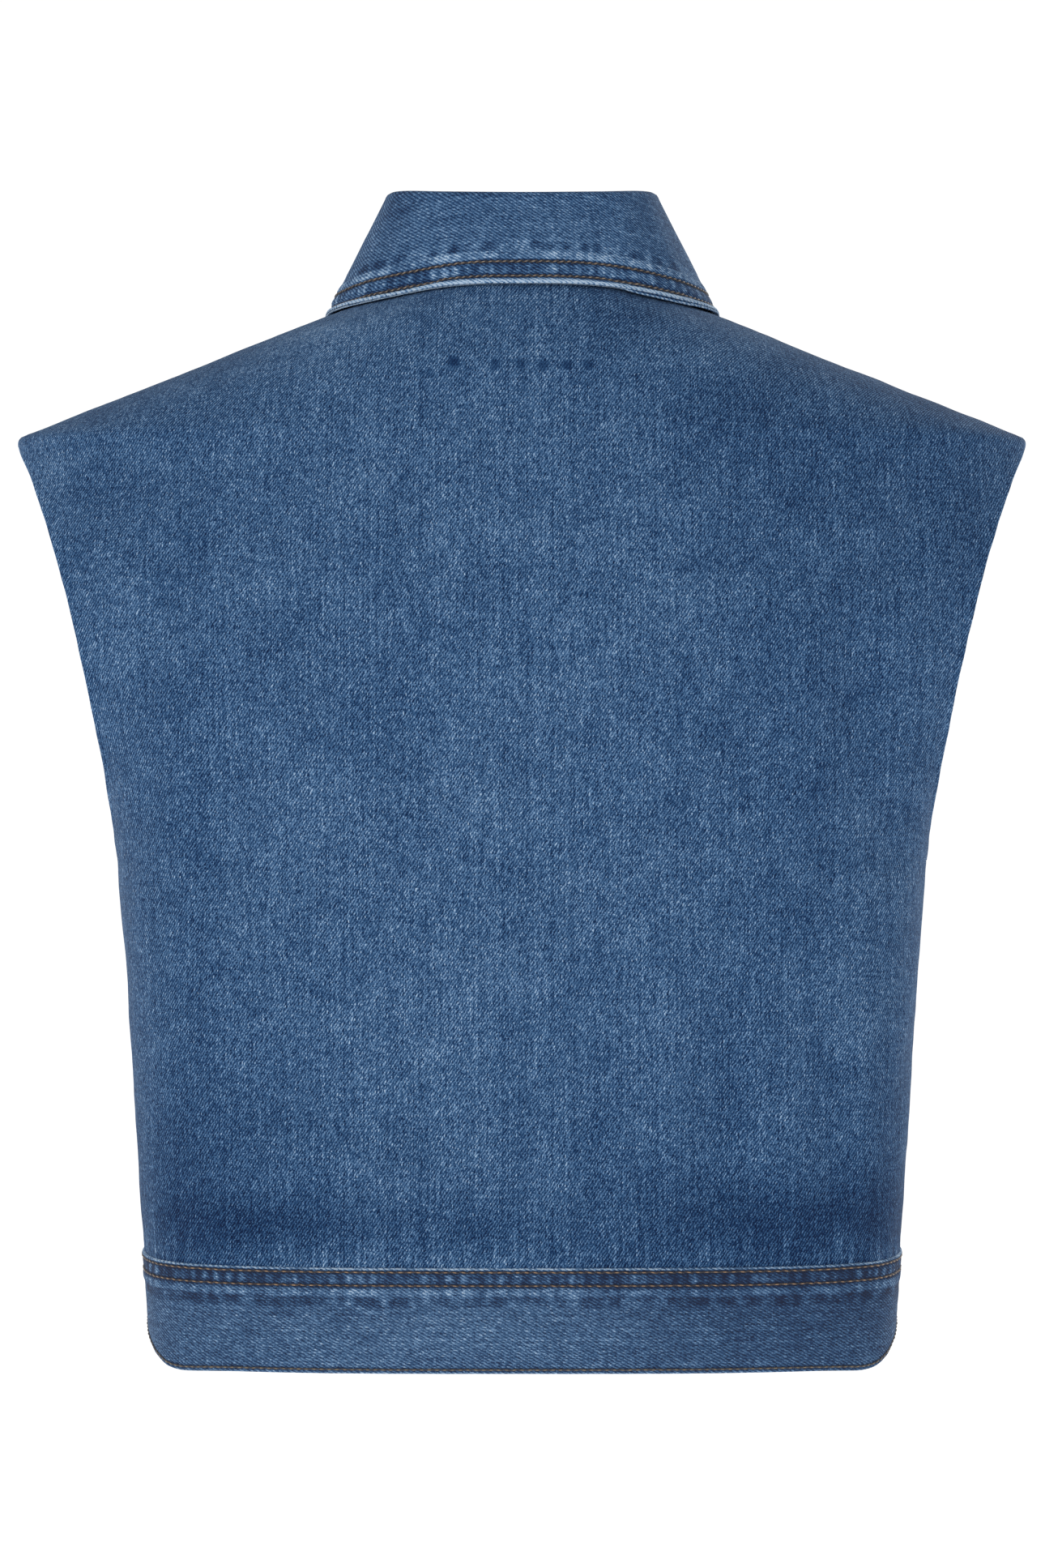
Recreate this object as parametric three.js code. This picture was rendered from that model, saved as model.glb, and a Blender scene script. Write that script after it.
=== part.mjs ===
// A sleeveless, cropped denim vest in the shape that it has when it is worn, with nobody in it.
// Millimetres, +Z up. The front faces -Y and the wearer's left side is +X. The origin lies midway
// between the two points where the shoulder seams meet the neckline.

import * as THREE from 'three';

// Driving sizes
const NECK_HALF = 66; // half the neckline's width, at the shoulder seams
const NECK_BACK = 58; // reach of the neckline behind the shoulder seams
const NECK_FRONT = 72; // reach of the neckline in front of them
const SHOULDER_DROP = 0.394; // fall of the shoulder seam for each millimetre outwards
const TIP_ROUND = 3; // rounding where the shoulder seam turns down into the armhole
const ARM_TOP = -73; // where the shoulder seam ends in the armhole, at the widest point
const ARM_BOTTOM = -278; // where the side seam ends in the armhole
const ARM_BACK = 58; // reach of the armhole behind the side seam
const ARM_FRONT = 64; // reach of the armhole in front of it
const WAIST = -467; // seam between the panels and the hem band
const HEM = -517; // lower edge of the band
const WAIST_LIFT = 2; // rise of the waist seam towards the side seams
const HEM_LIFT = 14; // rise of the hem towards the side seams
const LAP = 17; // reach of each front past the centre
const LAP_RETURN = 36; // where the lower front is back at the full girth
const CLOTH = 1.2; // thickness of one ply
const BAND_CLOTH = 2.4; // thickness of the folded band
const BAND_PROUD = 1; // how far the band stands out of the panels
const COLLAR_CLOTH = 2.2; // thickness of the two plies of the collar
const COLLAR_ROLL = 3.4; // radius of the roll at the collar's fold
const COLLAR_LIFT = 0.9; // height of the collar's lower edge over the sloping neckline
const COLLAR_CLEAR = 1; // least room between the collar and the cloth under it
const SEAM = 0.3; // room between pieces where they are sewn together
const LAP_ROOM = 0.7; // room between the two fronts where they lap
const BUTTON_RADIUS = 8.5;
const BUTTON_SHANK = 4.5;
const BUTTON_HEIGHTS = [-92, -180, -268, -356, -442, -492];

// Faces along and across each piece
const NECK_COLUMNS = 10;
const SHOULDER_COLUMNS = 9;
const YOKE_ROWS = 15;
const BODY_ROWS = 10;
const BAND_ROWS = 3;
const COLLAR_STATIONS = 20;
const FALL_ROWS = 5;
const BUTTON_SIDES = 14;

// Horizontal sections of the body: half its width, its reach behind and in front of the
// shoulder line, and how square the section is, where 2 is an ellipse
const SECTIONS = [
  { z: -540, half: 178.8, back: 91, front: 100, square: 3.6 },
  { z: -517, half: 179.7, back: 92, front: 101, square: 3.5 },
  { z: -467, half: 183.4, back: 94, front: 104, square: 3.4 },
  { z: -400, half: 188.1, back: 94, front: 109, square: 3.3 },
  { z: -330, half: 192.4, back: 97, front: 115, square: 3.2 },
  { z: -278, half: 196.9, back: 99, front: 116, square: 3.0 },
  { z: -235, half: 200.5, back: 101, front: 113, square: 2.75 },
  { z: -190, half: 208.3, back: 102, front: 107, square: 2.4 },
  { z: -160, half: 215.1, back: 101, front: 102, square: 2.2 },
  { z: -130, half: 223.6, back: 98, front: 94, square: 2.0 },
  { z: -95, half: 236.5, back: 93, front: 82, square: 1.85 },
  { z: -75, half: 246, back: 89, front: 74, square: 1.8 },
  { z: -45, half: 252, back: 81, front: 60, square: 1.85 },
  { z: -20, half: 256, back: 70, front: 48, square: 1.95 },
  { z: 0, half: 259, back: 58, front: 40, square: 2.0 },
  { z: 20, half: 262, back: 50, front: 34, square: 2.0 },
];

// The collar from the centre back, where turn is 0, to the centre front: its fold and its edge
const COLLAR = [
  { turn: 0, foldX: 0, foldY: 54, foldZ: 41.7, edgeX: 0, edgeY: 63.5, edgeZ: -1.3 },
  { turn: 35, foldX: 38, foldY: 46, foldZ: 43, edgeX: 48.6, edgeY: 50, edgeZ: -2.6 },
  { turn: 60, foldX: 56, foldY: 31, foldZ: 45.2, edgeX: 74.8, edgeY: 35, edgeZ: -6.8 },
  { turn: 78, foldX: 62.2, foldY: 14, foldZ: 46.6, edgeX: 90.6, edgeY: 15, edgeZ: -10.2 },
  { turn: 92, foldX: 63, foldY: -2, foldZ: 46.4, edgeX: 95.6, edgeY: -4, edgeZ: -11.6 },
  { turn: 112, foldX: 61, foldY: -26, foldZ: 36, edgeX: 95, edgeY: -27, edgeZ: -22 },
  { turn: 132, foldX: 51, foldY: -48, foldZ: 12, edgeX: 90, edgeY: -53, edgeZ: -46 },
  { turn: 152, foldX: 33, foldY: -66, foldZ: -20, edgeX: 77, edgeY: -78, edgeZ: -84 },
  { turn: 176, foldX: 9, foldY: -77, foldZ: -50, edgeX: 60, edgeY: -91, edgeZ: -122 },
];

// The largest soft folds, each along a straight run on one side: its two ends, how far it
// spreads to each side and how far it lies out of the cloth, or into it where negative
const FOLDS = [
  { side: 1, fromX: -196, fromZ: -92, toX: -170, toZ: -150, spread: 13, depth: -2.4 },
  { side: 1, fromX: -160, fromZ: -160, toX: -158, toZ: -225, spread: 15, depth: -2.6 },
  { side: 1, fromX: -158, fromZ: -222, toX: -184, toZ: -290, spread: 13, depth: -2.2 },
  { side: 1, fromX: -134, fromZ: -150, toX: -136, toZ: -270, spread: 16, depth: 1.6 },
  { side: 1, fromX: 139, fromZ: -186, toX: 137, toZ: -310, spread: 15, depth: -2.4 },
  { side: 1, fromX: 162, fromZ: -170, toX: 166, toZ: -290, spread: 14, depth: 1.5 },
  { side: 1, fromX: 150, fromZ: -372, toX: 10, toZ: -414, spread: 14, depth: -1.6 },
  { side: 1, fromX: -92, fromZ: -330, toX: -98, toZ: -452, spread: 13, depth: -1.8 },
  { side: 1, fromX: -122, fromZ: -340, toX: -128, toZ: -455, spread: 12, depth: 1.7 },
  { side: 1, fromX: 88, fromZ: -100, toX: 30, toZ: -170, spread: 18, depth: 1.2 },
  { side: -1, fromX: 190, fromZ: -100, toX: 150, toZ: -190, spread: 14, depth: -2.4 },
  { side: -1, fromX: -192, fromZ: -104, toX: -158, toZ: -180, spread: 14, depth: -2.2 },
  { side: -1, fromX: 176, fromZ: -282, toX: 96, toZ: -226, spread: 14, depth: -2.2 },
  { side: -1, fromX: -174, fromZ: -276, toX: -88, toZ: -232, spread: 15, depth: -1.9 },
  { side: -1, fromX: 120, fromZ: -318, toX: 132, toZ: -450, spread: 14, depth: -2.2 },
  { side: -1, fromX: 84, fromZ: -330, toX: 88, toZ: -446, spread: 13, depth: 1.7 },
  { side: -1, fromX: -108, fromZ: -300, toX: -122, toZ: -452, spread: 15, depth: -2.2 },
  { side: -1, fromX: -146, fromZ: -330, toX: -152, toZ: -440, spread: 12, depth: 1.5 },
];

const BACK = 1;
const FRONT = -1;

// The collar's rows with one more from the other half, so that it is smooth at the centre back
const beforeCentre = { ...COLLAR[1], turn: -COLLAR[1].turn, foldX: -COLLAR[1].foldX };
const COLLAR_ROWS = [{ ...beforeCentre, edgeX: -COLLAR[1].edgeX }, ...COLLAR];

const DENIM = { color: 0x3e5c80, roughness: 0.92, metalness: 0 };
const BUTTON_METAL = { color: 0xb08a5a, roughness: 0.4, metalness: 1 };

function smoothstep(low, high, value) {
  const t = Math.min(1, Math.max(0, (value - low) / (high - low)));
  return t * t * (3 - 2 * t);
}

function remap(value, fromLow, fromHigh, toLow, toHigh) {
  return toLow + (value - fromLow) * (toHigh - toLow) / (fromHigh - fromLow);
}

// One column of a table at any place along its key, on a smooth curve through its rows
function tableValue(rows, key, at, name) {
  const last = rows.length - 1;
  const place = Math.min(rows[last][key], Math.max(rows[0][key], at));
  let row = 0;
  while (row < last - 1 && rows[row + 1][key] < place) {
    row += 1;
  }
  const slopeAt = (i) => {
    const before = rows[Math.max(0, i - 1)];
    const after = rows[Math.min(last, i + 1)];
    return (after[name] - before[name]) / (after[key] - before[key]);
  };
  const span = rows[row + 1][key] - rows[row][key];
  const t = (place - rows[row][key]) / span;
  const startWeight = 2 * t ** 3 - 3 * t ** 2 + 1;
  const startSlope = slopeAt(row) * span * (t ** 3 - 2 * t ** 2 + t);
  const endSlope = slopeAt(row + 1) * span * (t ** 3 - t ** 2);
  const between = rows[row][name] * startWeight + rows[row + 1][name] * (1 - startWeight);
  return between + startSlope + endSlope;
}

// Half the width of the garment as its back shows it: the shoulder seam above, the armhole's
// edge and then the side below, with a rounded tip between them
function edgeHalf(z) {
  const shoulder = NECK_HALF - z / SHOULDER_DROP;
  const side = tableValue(SECTIONS, 'z', z, 'half');
  const least = Math.min(shoulder, side);
  const blend = Math.exp((least - shoulder) / TIP_ROUND) + Math.exp((least - side) / TIP_ROUND);
  return least - TIP_ROUND * Math.log(blend);
}

// How far behind or in front of the side seam the armhole has cut the cloth away
function armholeDepth(z, side) {
  const middle = (ARM_TOP + ARM_BOTTOM) / 2;
  const t = (z - middle) / (ARM_TOP - middle);
  const square = tableValue(SECTIONS, 'z', z, 'square');
  return (side === BACK ? ARM_BACK : ARM_FRONT) * Math.max(0, 1 - t * t) ** (1.5 / square);
}

function sectionAt(z, side) {
  const depth = tableValue(SECTIONS, 'z', z, side === BACK ? 'back' : 'front');
  const square = tableValue(SECTIONS, 'z', z, 'square');
  const edge = edgeHalf(z);
  const cut = armholeDepth(z, side);
  const reach = edge / (1 - (cut / depth) ** square) ** (1 / square);
  return { depth, square, edge, cut, reach };
}

function depthAt(x, z, side) {
  const section = sectionAt(z, side);
  const share = Math.min(1, Math.abs(x) / section.reach) ** section.square;
  return section.depth * (1 - share) ** (1 / section.square);
}

// Below 0 inside the body's outer face, 0 on it and above 0 outside
function bodyField(point) {
  const section = sectionAt(point.z, point.y >= 0 ? BACK : FRONT);
  const across = (Math.abs(point.x) / section.reach) ** section.square;
  const through = (Math.abs(point.y) / section.depth) ** section.square;
  return across + through - 1;
}

function bodySlope(point) {
  const step = 0.2;
  const slope = new THREE.Vector3();
  for (const axis of ['x', 'y', 'z']) {
    const ahead = point.clone();
    const behind = point.clone();
    ahead[axis] += step;
    behind[axis] -= step;
    slope[axis] = (bodyField(ahead) - bodyField(behind)) / (2 * step);
  }
  return slope;
}

function foldOffset(x, z, side) {
  let offset = 0;
  for (const fold of FOLDS) {
    if (fold.side !== side) {
      continue;
    }
    const runX = fold.toX - fold.fromX;
    const runZ = fold.toZ - fold.fromZ;
    const length = Math.hypot(runX, runZ);
    const along = ((x - fold.fromX) * runX + (z - fold.fromZ) * runZ) / (length * length);
    const away = ((x - fold.fromX) * runZ - (z - fold.fromZ) * runX) / length;
    const ends = smoothstep(-0.1, 0.3, along) * smoothstep(1.1, 0.7, along);
    offset += fold.depth * ends * Math.exp(-((away / fold.spread) ** 2));
  }
  return offset;
}

// A point of the body's cloth and the same point on its inner face
function clothPoint(x, z, side, outset, thickness) {
  const surface = new THREE.Vector3(x, side * depthAt(x, z, side), z);
  const outwards = bodySlope(surface).normalize();
  const outer = surface.clone().addScaledVector(outwards, outset + foldOffset(x, z, side));
  const inner = outer.clone().addScaledVector(outwards, -thickness);
  for (const point of [outer, inner]) {
    point.y = side * Math.max(SEAM / 2, side * point.y);
  }
  return { outer, inner, outwards };
}

// The height at which the neckline's oval meets the front
function frontNeckHeight(x, forward) {
  let low = ARM_TOP;
  let high = 0;
  for (let i = 0; i < 40; i += 1) {
    const middle = (low + high) / 2;
    if (depthAt(x, middle, FRONT) > forward) {
      low = middle;
    } else {
      high = middle;
    }
  }
  return (low + high) / 2;
}

function necklinePoint(turn) {
  const angle = THREE.MathUtils.degToRad(turn);
  const x = NECK_HALF * Math.sin(angle);
  const forward = -Math.cos(angle);
  if (forward <= 0) {
    return new THREE.Vector3(x, -forward * NECK_BACK, 0);
  }
  const y = forward * NECK_FRONT;
  return new THREE.Vector3(x, -y, frontNeckHeight(x, y));
}

// The upper edge of a panel: along the neckline from a starting turn, then the shoulder seam
function upperEdge(side, startTurn) {
  const points = [];
  const endTurn = 90;
  for (let i = 0; i <= NECK_COLUMNS; i += 1) {
    const turn = remap(i, 0, NECK_COLUMNS, startTurn, endTurn);
    const point = necklinePoint(side === BACK ? turn : 180 - turn);
    points.push({ x: point.x, z: point.z });
  }
  for (let i = 1; i <= SHOULDER_COLUMNS; i += 1) {
    const t = 1 - (1 - i / SHOULDER_COLUMNS) ** 1.2;
    points.push({ x: edgeHalf(ARM_TOP * t), z: ARM_TOP * t });
  }
  return points;
}

// Places across a section, evenly round its curve, from a starting x to the side edge
function acrossSection(z, side, startX, count) {
  const section = sectionAt(z, side);
  const endAngle = Math.atan2(section.edge / section.reach, section.cut / section.depth);
  const startAngle = Math.asin(startX / section.reach);
  const cutAngle = Math.PI / 2 - endAngle;
  const raw = [];
  for (let i = 0; i <= count; i += 1) {
    const whole = remap(i, 0, count, startAngle, Math.PI / 2);
    const angle = whole - cutAngle * (i / count) ** 2;
    const sine = Math.abs(Math.sin(angle)) ** section.square;
    const cosine = Math.abs(Math.cos(angle)) ** section.square;
    raw.push(section.reach * Math.sin(angle) / (sine + cosine) ** (1 / section.square));
  }
  return raw.map((x) => remap(x, raw[0], raw[count], startX, section.edge));
}

// How much of a lift at the side seams applies at one column, from the middle to the side
function sideShare(i, count) {
  return smoothstep(0.55, 0.95, i / count);
}

// Rows of places (x, z) of a panel from its upper edge to the waist seam
function panelPlaces(side, startTurn, startX) {
  const top = upperEdge(side, startTurn);
  const count = top.length - 1;
  const tipX = top[count].x;
  const rows = [];
  for (let r = 0; r <= YOKE_ROWS + BODY_ROWS; r += 1) {
    const yoke = Math.min(1, r / YOKE_ROWS);
    const below = Math.max(0, r - YOKE_ROWS) / BODY_ROWS;
    const row = top.map((place, i) => {
      const closeToArm = (i / count) ** 6;
      const inner = 1 - Math.cos(Math.PI * yoke / 2);
      const outer = (1 - Math.cos(Math.PI * yoke)) / 2;
      const drop = inner + (outer - inner) * closeToArm;
      const spread = smoothstep(0.3, 1, drop);
      const seamZ = WAIST + SEAM / 2 + WAIST_LIFT * sideShare(i, count);
      const bodyZ = remap(below, 0, 1, ARM_BOTTOM, seamZ);
      const z = below > 0 ? bodyZ : remap(drop, 0, 1, place.z, ARM_BOTTOM);
      const hung = z < ARM_TOP ? remap(place.x, startX, tipX, startX, edgeHalf(z)) : place.x;
      const even = acrossSection(z, side, startX, count)[i];
      return { x: hung + (even - hung) * spread, z };
    });
    rows.push(row);
  }
  return rows;
}

function bandPlaces(side, startX) {
  const rows = [];
  const count = NECK_COLUMNS + SHOULDER_COLUMNS;
  for (let r = 0; r <= BAND_ROWS; r += 1) {
    const row = [];
    for (let i = 0; i <= count; i += 1) {
      const share = sideShare(i, count);
      const seamZ = WAIST - SEAM / 2 + WAIST_LIFT * share;
      const z = remap(r, 0, BAND_ROWS, seamZ, HEM + HEM_LIFT * share);
      row.push({ x: acrossSection(z, side, startX, count)[i], z });
    }
    rows.push(row);
  }
  return rows;
}

// The half given by places at x of 0 and above, with its mirror image joined on
function mirroredRows(rows) {
  return rows.map((row) => {
    const other = row.slice(1).reverse().map((place) => ({ x: -place.x, z: place.z }));
    return [...other, ...row];
  });
}

// A closed wall between two grids of points: both faces and the rim round them
function wallGeometry(outer, inner, flip) {
  const rows = outer.length;
  const columns = outer[0].length;
  const outerAt = (r, c) => r * columns + c;
  const innerAt = (r, c) => rows * columns + r * columns + c;
  const indices = [];
  const points = [...outer.flat(), ...inner.flat()];
  const triangle = (a, b, c) => indices.push(a, ...(flip ? [c, b] : [b, c]));
  // Each quad is cut along its shorter diagonal
  const quad = (a, b, c, d) => {
    if (points[a].distanceTo(points[c]) < points[b].distanceTo(points[d])) {
      triangle(a, b, c);
      triangle(a, c, d);
    } else {
      triangle(a, b, d);
      triangle(b, c, d);
    }
  };
  for (let r = 0; r < rows - 1; r += 1) {
    for (let c = 0; c < columns - 1; c += 1) {
      quad(outerAt(r, c), outerAt(r + 1, c), outerAt(r + 1, c + 1), outerAt(r, c + 1));
      quad(innerAt(r, c), innerAt(r, c + 1), innerAt(r + 1, c + 1), innerAt(r + 1, c));
    }
  }
  for (let c = 0; c < columns - 1; c += 1) {
    const last = rows - 1;
    quad(outerAt(0, c), outerAt(0, c + 1), innerAt(0, c + 1), innerAt(0, c));
    quad(outerAt(last, c + 1), outerAt(last, c), innerAt(last, c), innerAt(last, c + 1));
  }
  for (let r = 0; r < rows - 1; r += 1) {
    const last = columns - 1;
    quad(outerAt(r + 1, 0), outerAt(r, 0), innerAt(r, 0), innerAt(r + 1, 0));
    quad(outerAt(r, last), outerAt(r + 1, last), innerAt(r + 1, last), innerAt(r, last));
  }
  const geometry = new THREE.BufferGeometry();
  const positions = points.flatMap((point) => point.toArray());
  geometry.setAttribute('position', new THREE.Float32BufferAttribute(positions, 3));
  geometry.setIndex(indices);
  geometry.computeVertexNormals();
  return geometry;
}

// How far the front that lies underneath is moved in where the other one laps over it
function lapInset(x, thickness) {
  return (thickness + LAP_ROOM) * (1 - smoothstep(LAP + SEAM, LAP_RETURN, x));
}

// A piece of body cloth from its places. The wearer's right is the mirror image of the left.
function clothPiece(name, places, side, options) {
  const { outset = 0, thickness = CLOTH, under = false, mirrored = false } = options;
  const outer = [];
  const inner = [];
  for (const row of places) {
    const points = row.map((place) => {
      const inset = under ? lapInset(place.x, thickness) : 0;
      const x = mirrored ? -place.x : place.x;
      return clothPoint(x, place.z, side, outset - inset, thickness);
    });
    outer.push(points.map((point) => point.outer));
    inner.push(points.map((point) => point.inner));
  }
  const flip = (side === BACK) !== mirrored;
  return cloth(name, wallGeometry(outer, inner, flip));
}

function cloth(name, geometry) {
  const mesh = new THREE.Mesh(geometry, new THREE.MeshStandardMaterial(DENIM));
  mesh.name = name;
  return mesh;
}

// Moves a point straight out of the body until it is clear of the cloth
function clearOfBody(point, room) {
  const moved = point.clone();
  for (let i = 0; i < 4; i += 1) {
    const slope = bodySlope(moved);
    const distance = bodyField(moved) / slope.length();
    if (distance < room) {
      moved.addScaledVector(slope.normalize(), room - distance);
    }
  }
  return moved;
}

// The collar's middle face at one turn: up the stand, over the fold and down the fall
function collarProfile(turn, sideways) {
  const value = (name) => tableValue(COLLAR_ROWS, 'turn', turn, name);
  const fold = new THREE.Vector3(value('foldX'), value('foldY'), value('foldZ'));
  const edge = new THREE.Vector3(value('edgeX'), value('edgeY'), value('edgeZ'));
  const angle = THREE.MathUtils.degToRad(turn);
  const outwards = new THREE.Vector3(Math.sin(angle), Math.cos(angle), 0);
  const seam = necklinePoint(turn).addScaledVector(outwards, -COLLAR_CLOTH / 2);
  seam.z += COLLAR_LIFT;
  const roll = (amount, drop) => {
    const point = fold.clone().addScaledVector(outwards, amount * COLLAR_ROLL);
    point.z -= drop * COLLAR_ROLL;
    return point;
  };
  const inside = roll(-1, 1.3);
  const outside = roll(0.9, 0.8);
  const profile = [seam, seam.clone().lerp(inside, 0.35), seam.clone().lerp(inside, 0.7), inside];
  profile.push(roll(-0.7, 0.3), roll(0, 0), roll(0.6, 0.2), outside);
  const room = COLLAR_CLEAR + COLLAR_CLOTH / 2;
  for (let i = 1; i <= FALL_ROWS; i += 1) {
    profile.push(clearOfBody(outside.clone().lerp(edge, i / FALL_ROWS), room));
  }
  for (const point of profile) {
    point.x *= sideways;
  }
  return profile;
}

// The face's direction at each point of a grid, from its neighbours
function gridNormals(grid) {
  const rows = grid.length;
  const columns = grid[0].length;
  return grid.map((row, r) => row.map((point, c) => {
    const down = grid[Math.min(rows - 1, r + 1)][c].clone().sub(grid[Math.max(0, r - 1)][c]);
    const along = row[Math.min(columns - 1, c + 1)].clone().sub(row[Math.max(0, c - 1)]);
    return along.cross(down).normalize();
  }));
}

function collarPiece() {
  const middle = [];
  const lastTurn = COLLAR[COLLAR.length - 1].turn;
  for (let i = -COLLAR_STATIONS; i <= COLLAR_STATIONS; i += 1) {
    const turn = Math.abs(i) / COLLAR_STATIONS * lastTurn;
    middle.push(collarProfile(turn, i < 0 ? -1 : 1));
  }
  const directions = gridNormals(middle);
  const moved = (amount) => middle.map((row, r) => row.map((point, c) => (
    point.clone().addScaledVector(directions[r][c], amount)
  )));
  const half = COLLAR_CLOTH / 2;
  return cloth('collar', wallGeometry(moved(half), moved(-half), true));
}

function buttonPiece(name, height) {
  const profile = [
    [0, 0],
    [BUTTON_SHANK, 0],
    [BUTTON_SHANK, 1.2],
    [BUTTON_RADIUS - 0.6, 1.3],
    [BUTTON_RADIUS, 2],
    [BUTTON_RADIUS - 0.7, 3.1],
    [BUTTON_RADIUS - 2.2, 3.7],
    [BUTTON_RADIUS - 3.2, 3.2],
    [0, 3.4],
  ].map(([radius, up]) => new THREE.Vector2(radius, up));
  const mesh = new THREE.Mesh(
    new THREE.LatheGeometry(profile, BUTTON_SIDES),
    new THREE.MeshStandardMaterial(BUTTON_METAL),
  );
  const outset = height < WAIST ? BAND_PROUD : 0;
  const seat = clothPoint(0, height, FRONT, outset, CLOTH);
  mesh.position.copy(seat.outer).addScaledVector(seat.outwards, SEAM);
  mesh.quaternion.setFromUnitVectors(new THREE.Vector3(0, 1, 0), seat.outwards);
  mesh.name = name;
  return mesh;
}

const lapTurn = THREE.MathUtils.radToDeg(Math.asin(LAP / NECK_HALF));
const frontPlaces = panelPlaces(FRONT, -lapTurn, -LAP);
const frontBandPlaces = bandPlaces(FRONT, -LAP);
const band = { outset: BAND_PROUD, thickness: BAND_CLOTH };

const vest = new THREE.Group();
vest.add(clothPiece('back', mirroredRows(panelPlaces(BACK, 0, 0)), BACK, {}));
vest.add(clothPiece('front_left', frontPlaces, FRONT, { under: true }));
vest.add(clothPiece('front_right', frontPlaces, FRONT, { mirrored: true }));
vest.add(clothPiece('band_back', mirroredRows(bandPlaces(BACK, 0)), BACK, band));
vest.add(clothPiece('band_left', frontBandPlaces, FRONT, { ...band, under: true }));
vest.add(clothPiece('band_right', frontBandPlaces, FRONT, { ...band, mirrored: true }));
vest.add(collarPiece());
BUTTON_HEIGHTS.forEach((height, i) => {
  vest.add(buttonPiece(`button_${i + 1}`, height));
});

export default vest;
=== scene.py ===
"""A cropped, sleeveless denim vest in the shape that it has when it is worn, with nobody in it.

The cloth is built in millimetres from the same driving sizes as the solids and put into metres
when each mesh is made. The front faces -Y and the wearer's left side is +X.
"""

import math

import bpy
import numpy as np
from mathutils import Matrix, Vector


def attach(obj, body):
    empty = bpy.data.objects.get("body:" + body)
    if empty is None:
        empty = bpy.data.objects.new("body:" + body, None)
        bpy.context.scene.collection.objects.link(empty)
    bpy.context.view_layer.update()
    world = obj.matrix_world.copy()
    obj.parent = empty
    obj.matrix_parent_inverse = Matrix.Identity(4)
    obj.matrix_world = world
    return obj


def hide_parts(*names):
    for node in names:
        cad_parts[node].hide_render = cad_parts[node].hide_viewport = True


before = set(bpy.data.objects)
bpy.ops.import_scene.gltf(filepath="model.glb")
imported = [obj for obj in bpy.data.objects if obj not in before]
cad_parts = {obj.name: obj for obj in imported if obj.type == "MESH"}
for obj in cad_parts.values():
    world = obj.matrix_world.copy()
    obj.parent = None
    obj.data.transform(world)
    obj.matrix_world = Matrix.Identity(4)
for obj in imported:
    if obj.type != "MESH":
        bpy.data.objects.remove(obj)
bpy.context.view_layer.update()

MM = 0.001
BACK = 1
FRONT = -1

# Driving sizes of the garment
NECK_HALF = 66.0
NECK_BACK = 58.0
NECK_FRONT = 72.0
SHOULDER_DROP = 0.394
TIP_ROUND = 3.0
ARM_TOP = -73.0
ARM_BOTTOM = -278.0
ARM_BACK = 58.0
ARM_FRONT = 64.0
WAIST = -467.0
HEM = -517.0
WAIST_LIFT = 2.0
HEM_LIFT = 18.0
HEM_DIP = 1.8
LAP = 17.0
LAP_RETURN = 36.0
CLOTH = 1.2
BAND_CLOTH = 2.4
BAND_PROUD = 1.0
COLLAR_CLOTH = 2.2
COLLAR_ROLL = 3.4
COLLAR_LIFT = 0.9
COLLAR_CLEAR = 1.0
SEAM = 0.3
TUCK = 0.8
LAP_ROOM = 0.7
BUTTON_RADIUS = 8.5
BUTTON_SHANK = 4.5
BUTTON_SIDES = 48
BUTTON_HEIGHTS = (-92, -180, -268, -356, -442, -492)

# Distances from an edge at which rows of stitches run
BAND_ROWS_AT = (1.9, 8.2)
HEM_ROW_AT = 2.1
LAP_ROW_AT = 2.4
FRONT_ROWS_AT = (2.4, 8.8, 31)
COLLAR_ROWS_AT = (3.7, 10.7)

# A panel is laid out in steps along its upper edge and down its length
NECK_STEPS = 10.0
SHOULDER_STEPS = 9.0
YOKE_STEPS = 15.0
BODY_STEPS = 10.0

SECTION_COLUMNS = ("z", "half", "back", "front", "square")
SECTIONS = (
    (-540, 178.8, 91, 100, 3.6),
    (-517, 179.7, 92, 101, 3.5),
    (-467, 183.4, 94, 104, 3.4),
    (-400, 188.1, 94, 109, 3.3),
    (-330, 192.4, 97, 115, 3.2),
    (-278, 196.9, 99, 116, 3.0),
    (-235, 200.5, 101, 113, 2.75),
    (-190, 208.3, 102, 107, 2.4),
    (-160, 215.1, 101, 102, 2.2),
    (-130, 223.6, 98, 94, 2.0),
    (-95, 236.5, 93, 82, 1.85),
    (-75, 246, 89, 74, 1.8),
    (-45, 252, 81, 60, 1.85),
    (-20, 256, 70, 48, 1.95),
    (0, 259, 58, 40, 2.0),
    (20, 262, 50, 34, 2.0),
)

COLLAR_COLUMNS = ("turn", "fold_x", "fold_y", "fold_z", "edge_x", "edge_y", "edge_z")
COLLAR = (
    (-35, -38, 46, 43, -48.6, 50, -2.6),
    (0, 0, 54, 41.7, 0, 63.5, -1.3),
    (35, 38, 46, 43, 48.6, 50, -2.6),
    (60, 56, 31, 45.2, 74.8, 35, -6.8),
    (78, 62.2, 14, 46.6, 90.6, 15, -10.2),
    (92, 63, -2, 46.4, 95.6, -4, -11.6),
    (112, 61, -26, 36, 95, -27, -22),
    (132, 51, -48, 12, 90, -53, -46),
    (152, 33, -66, -20, 77, -78, -84),
    (176, 9, -77, -50, 60, -91, -122),
)

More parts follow.
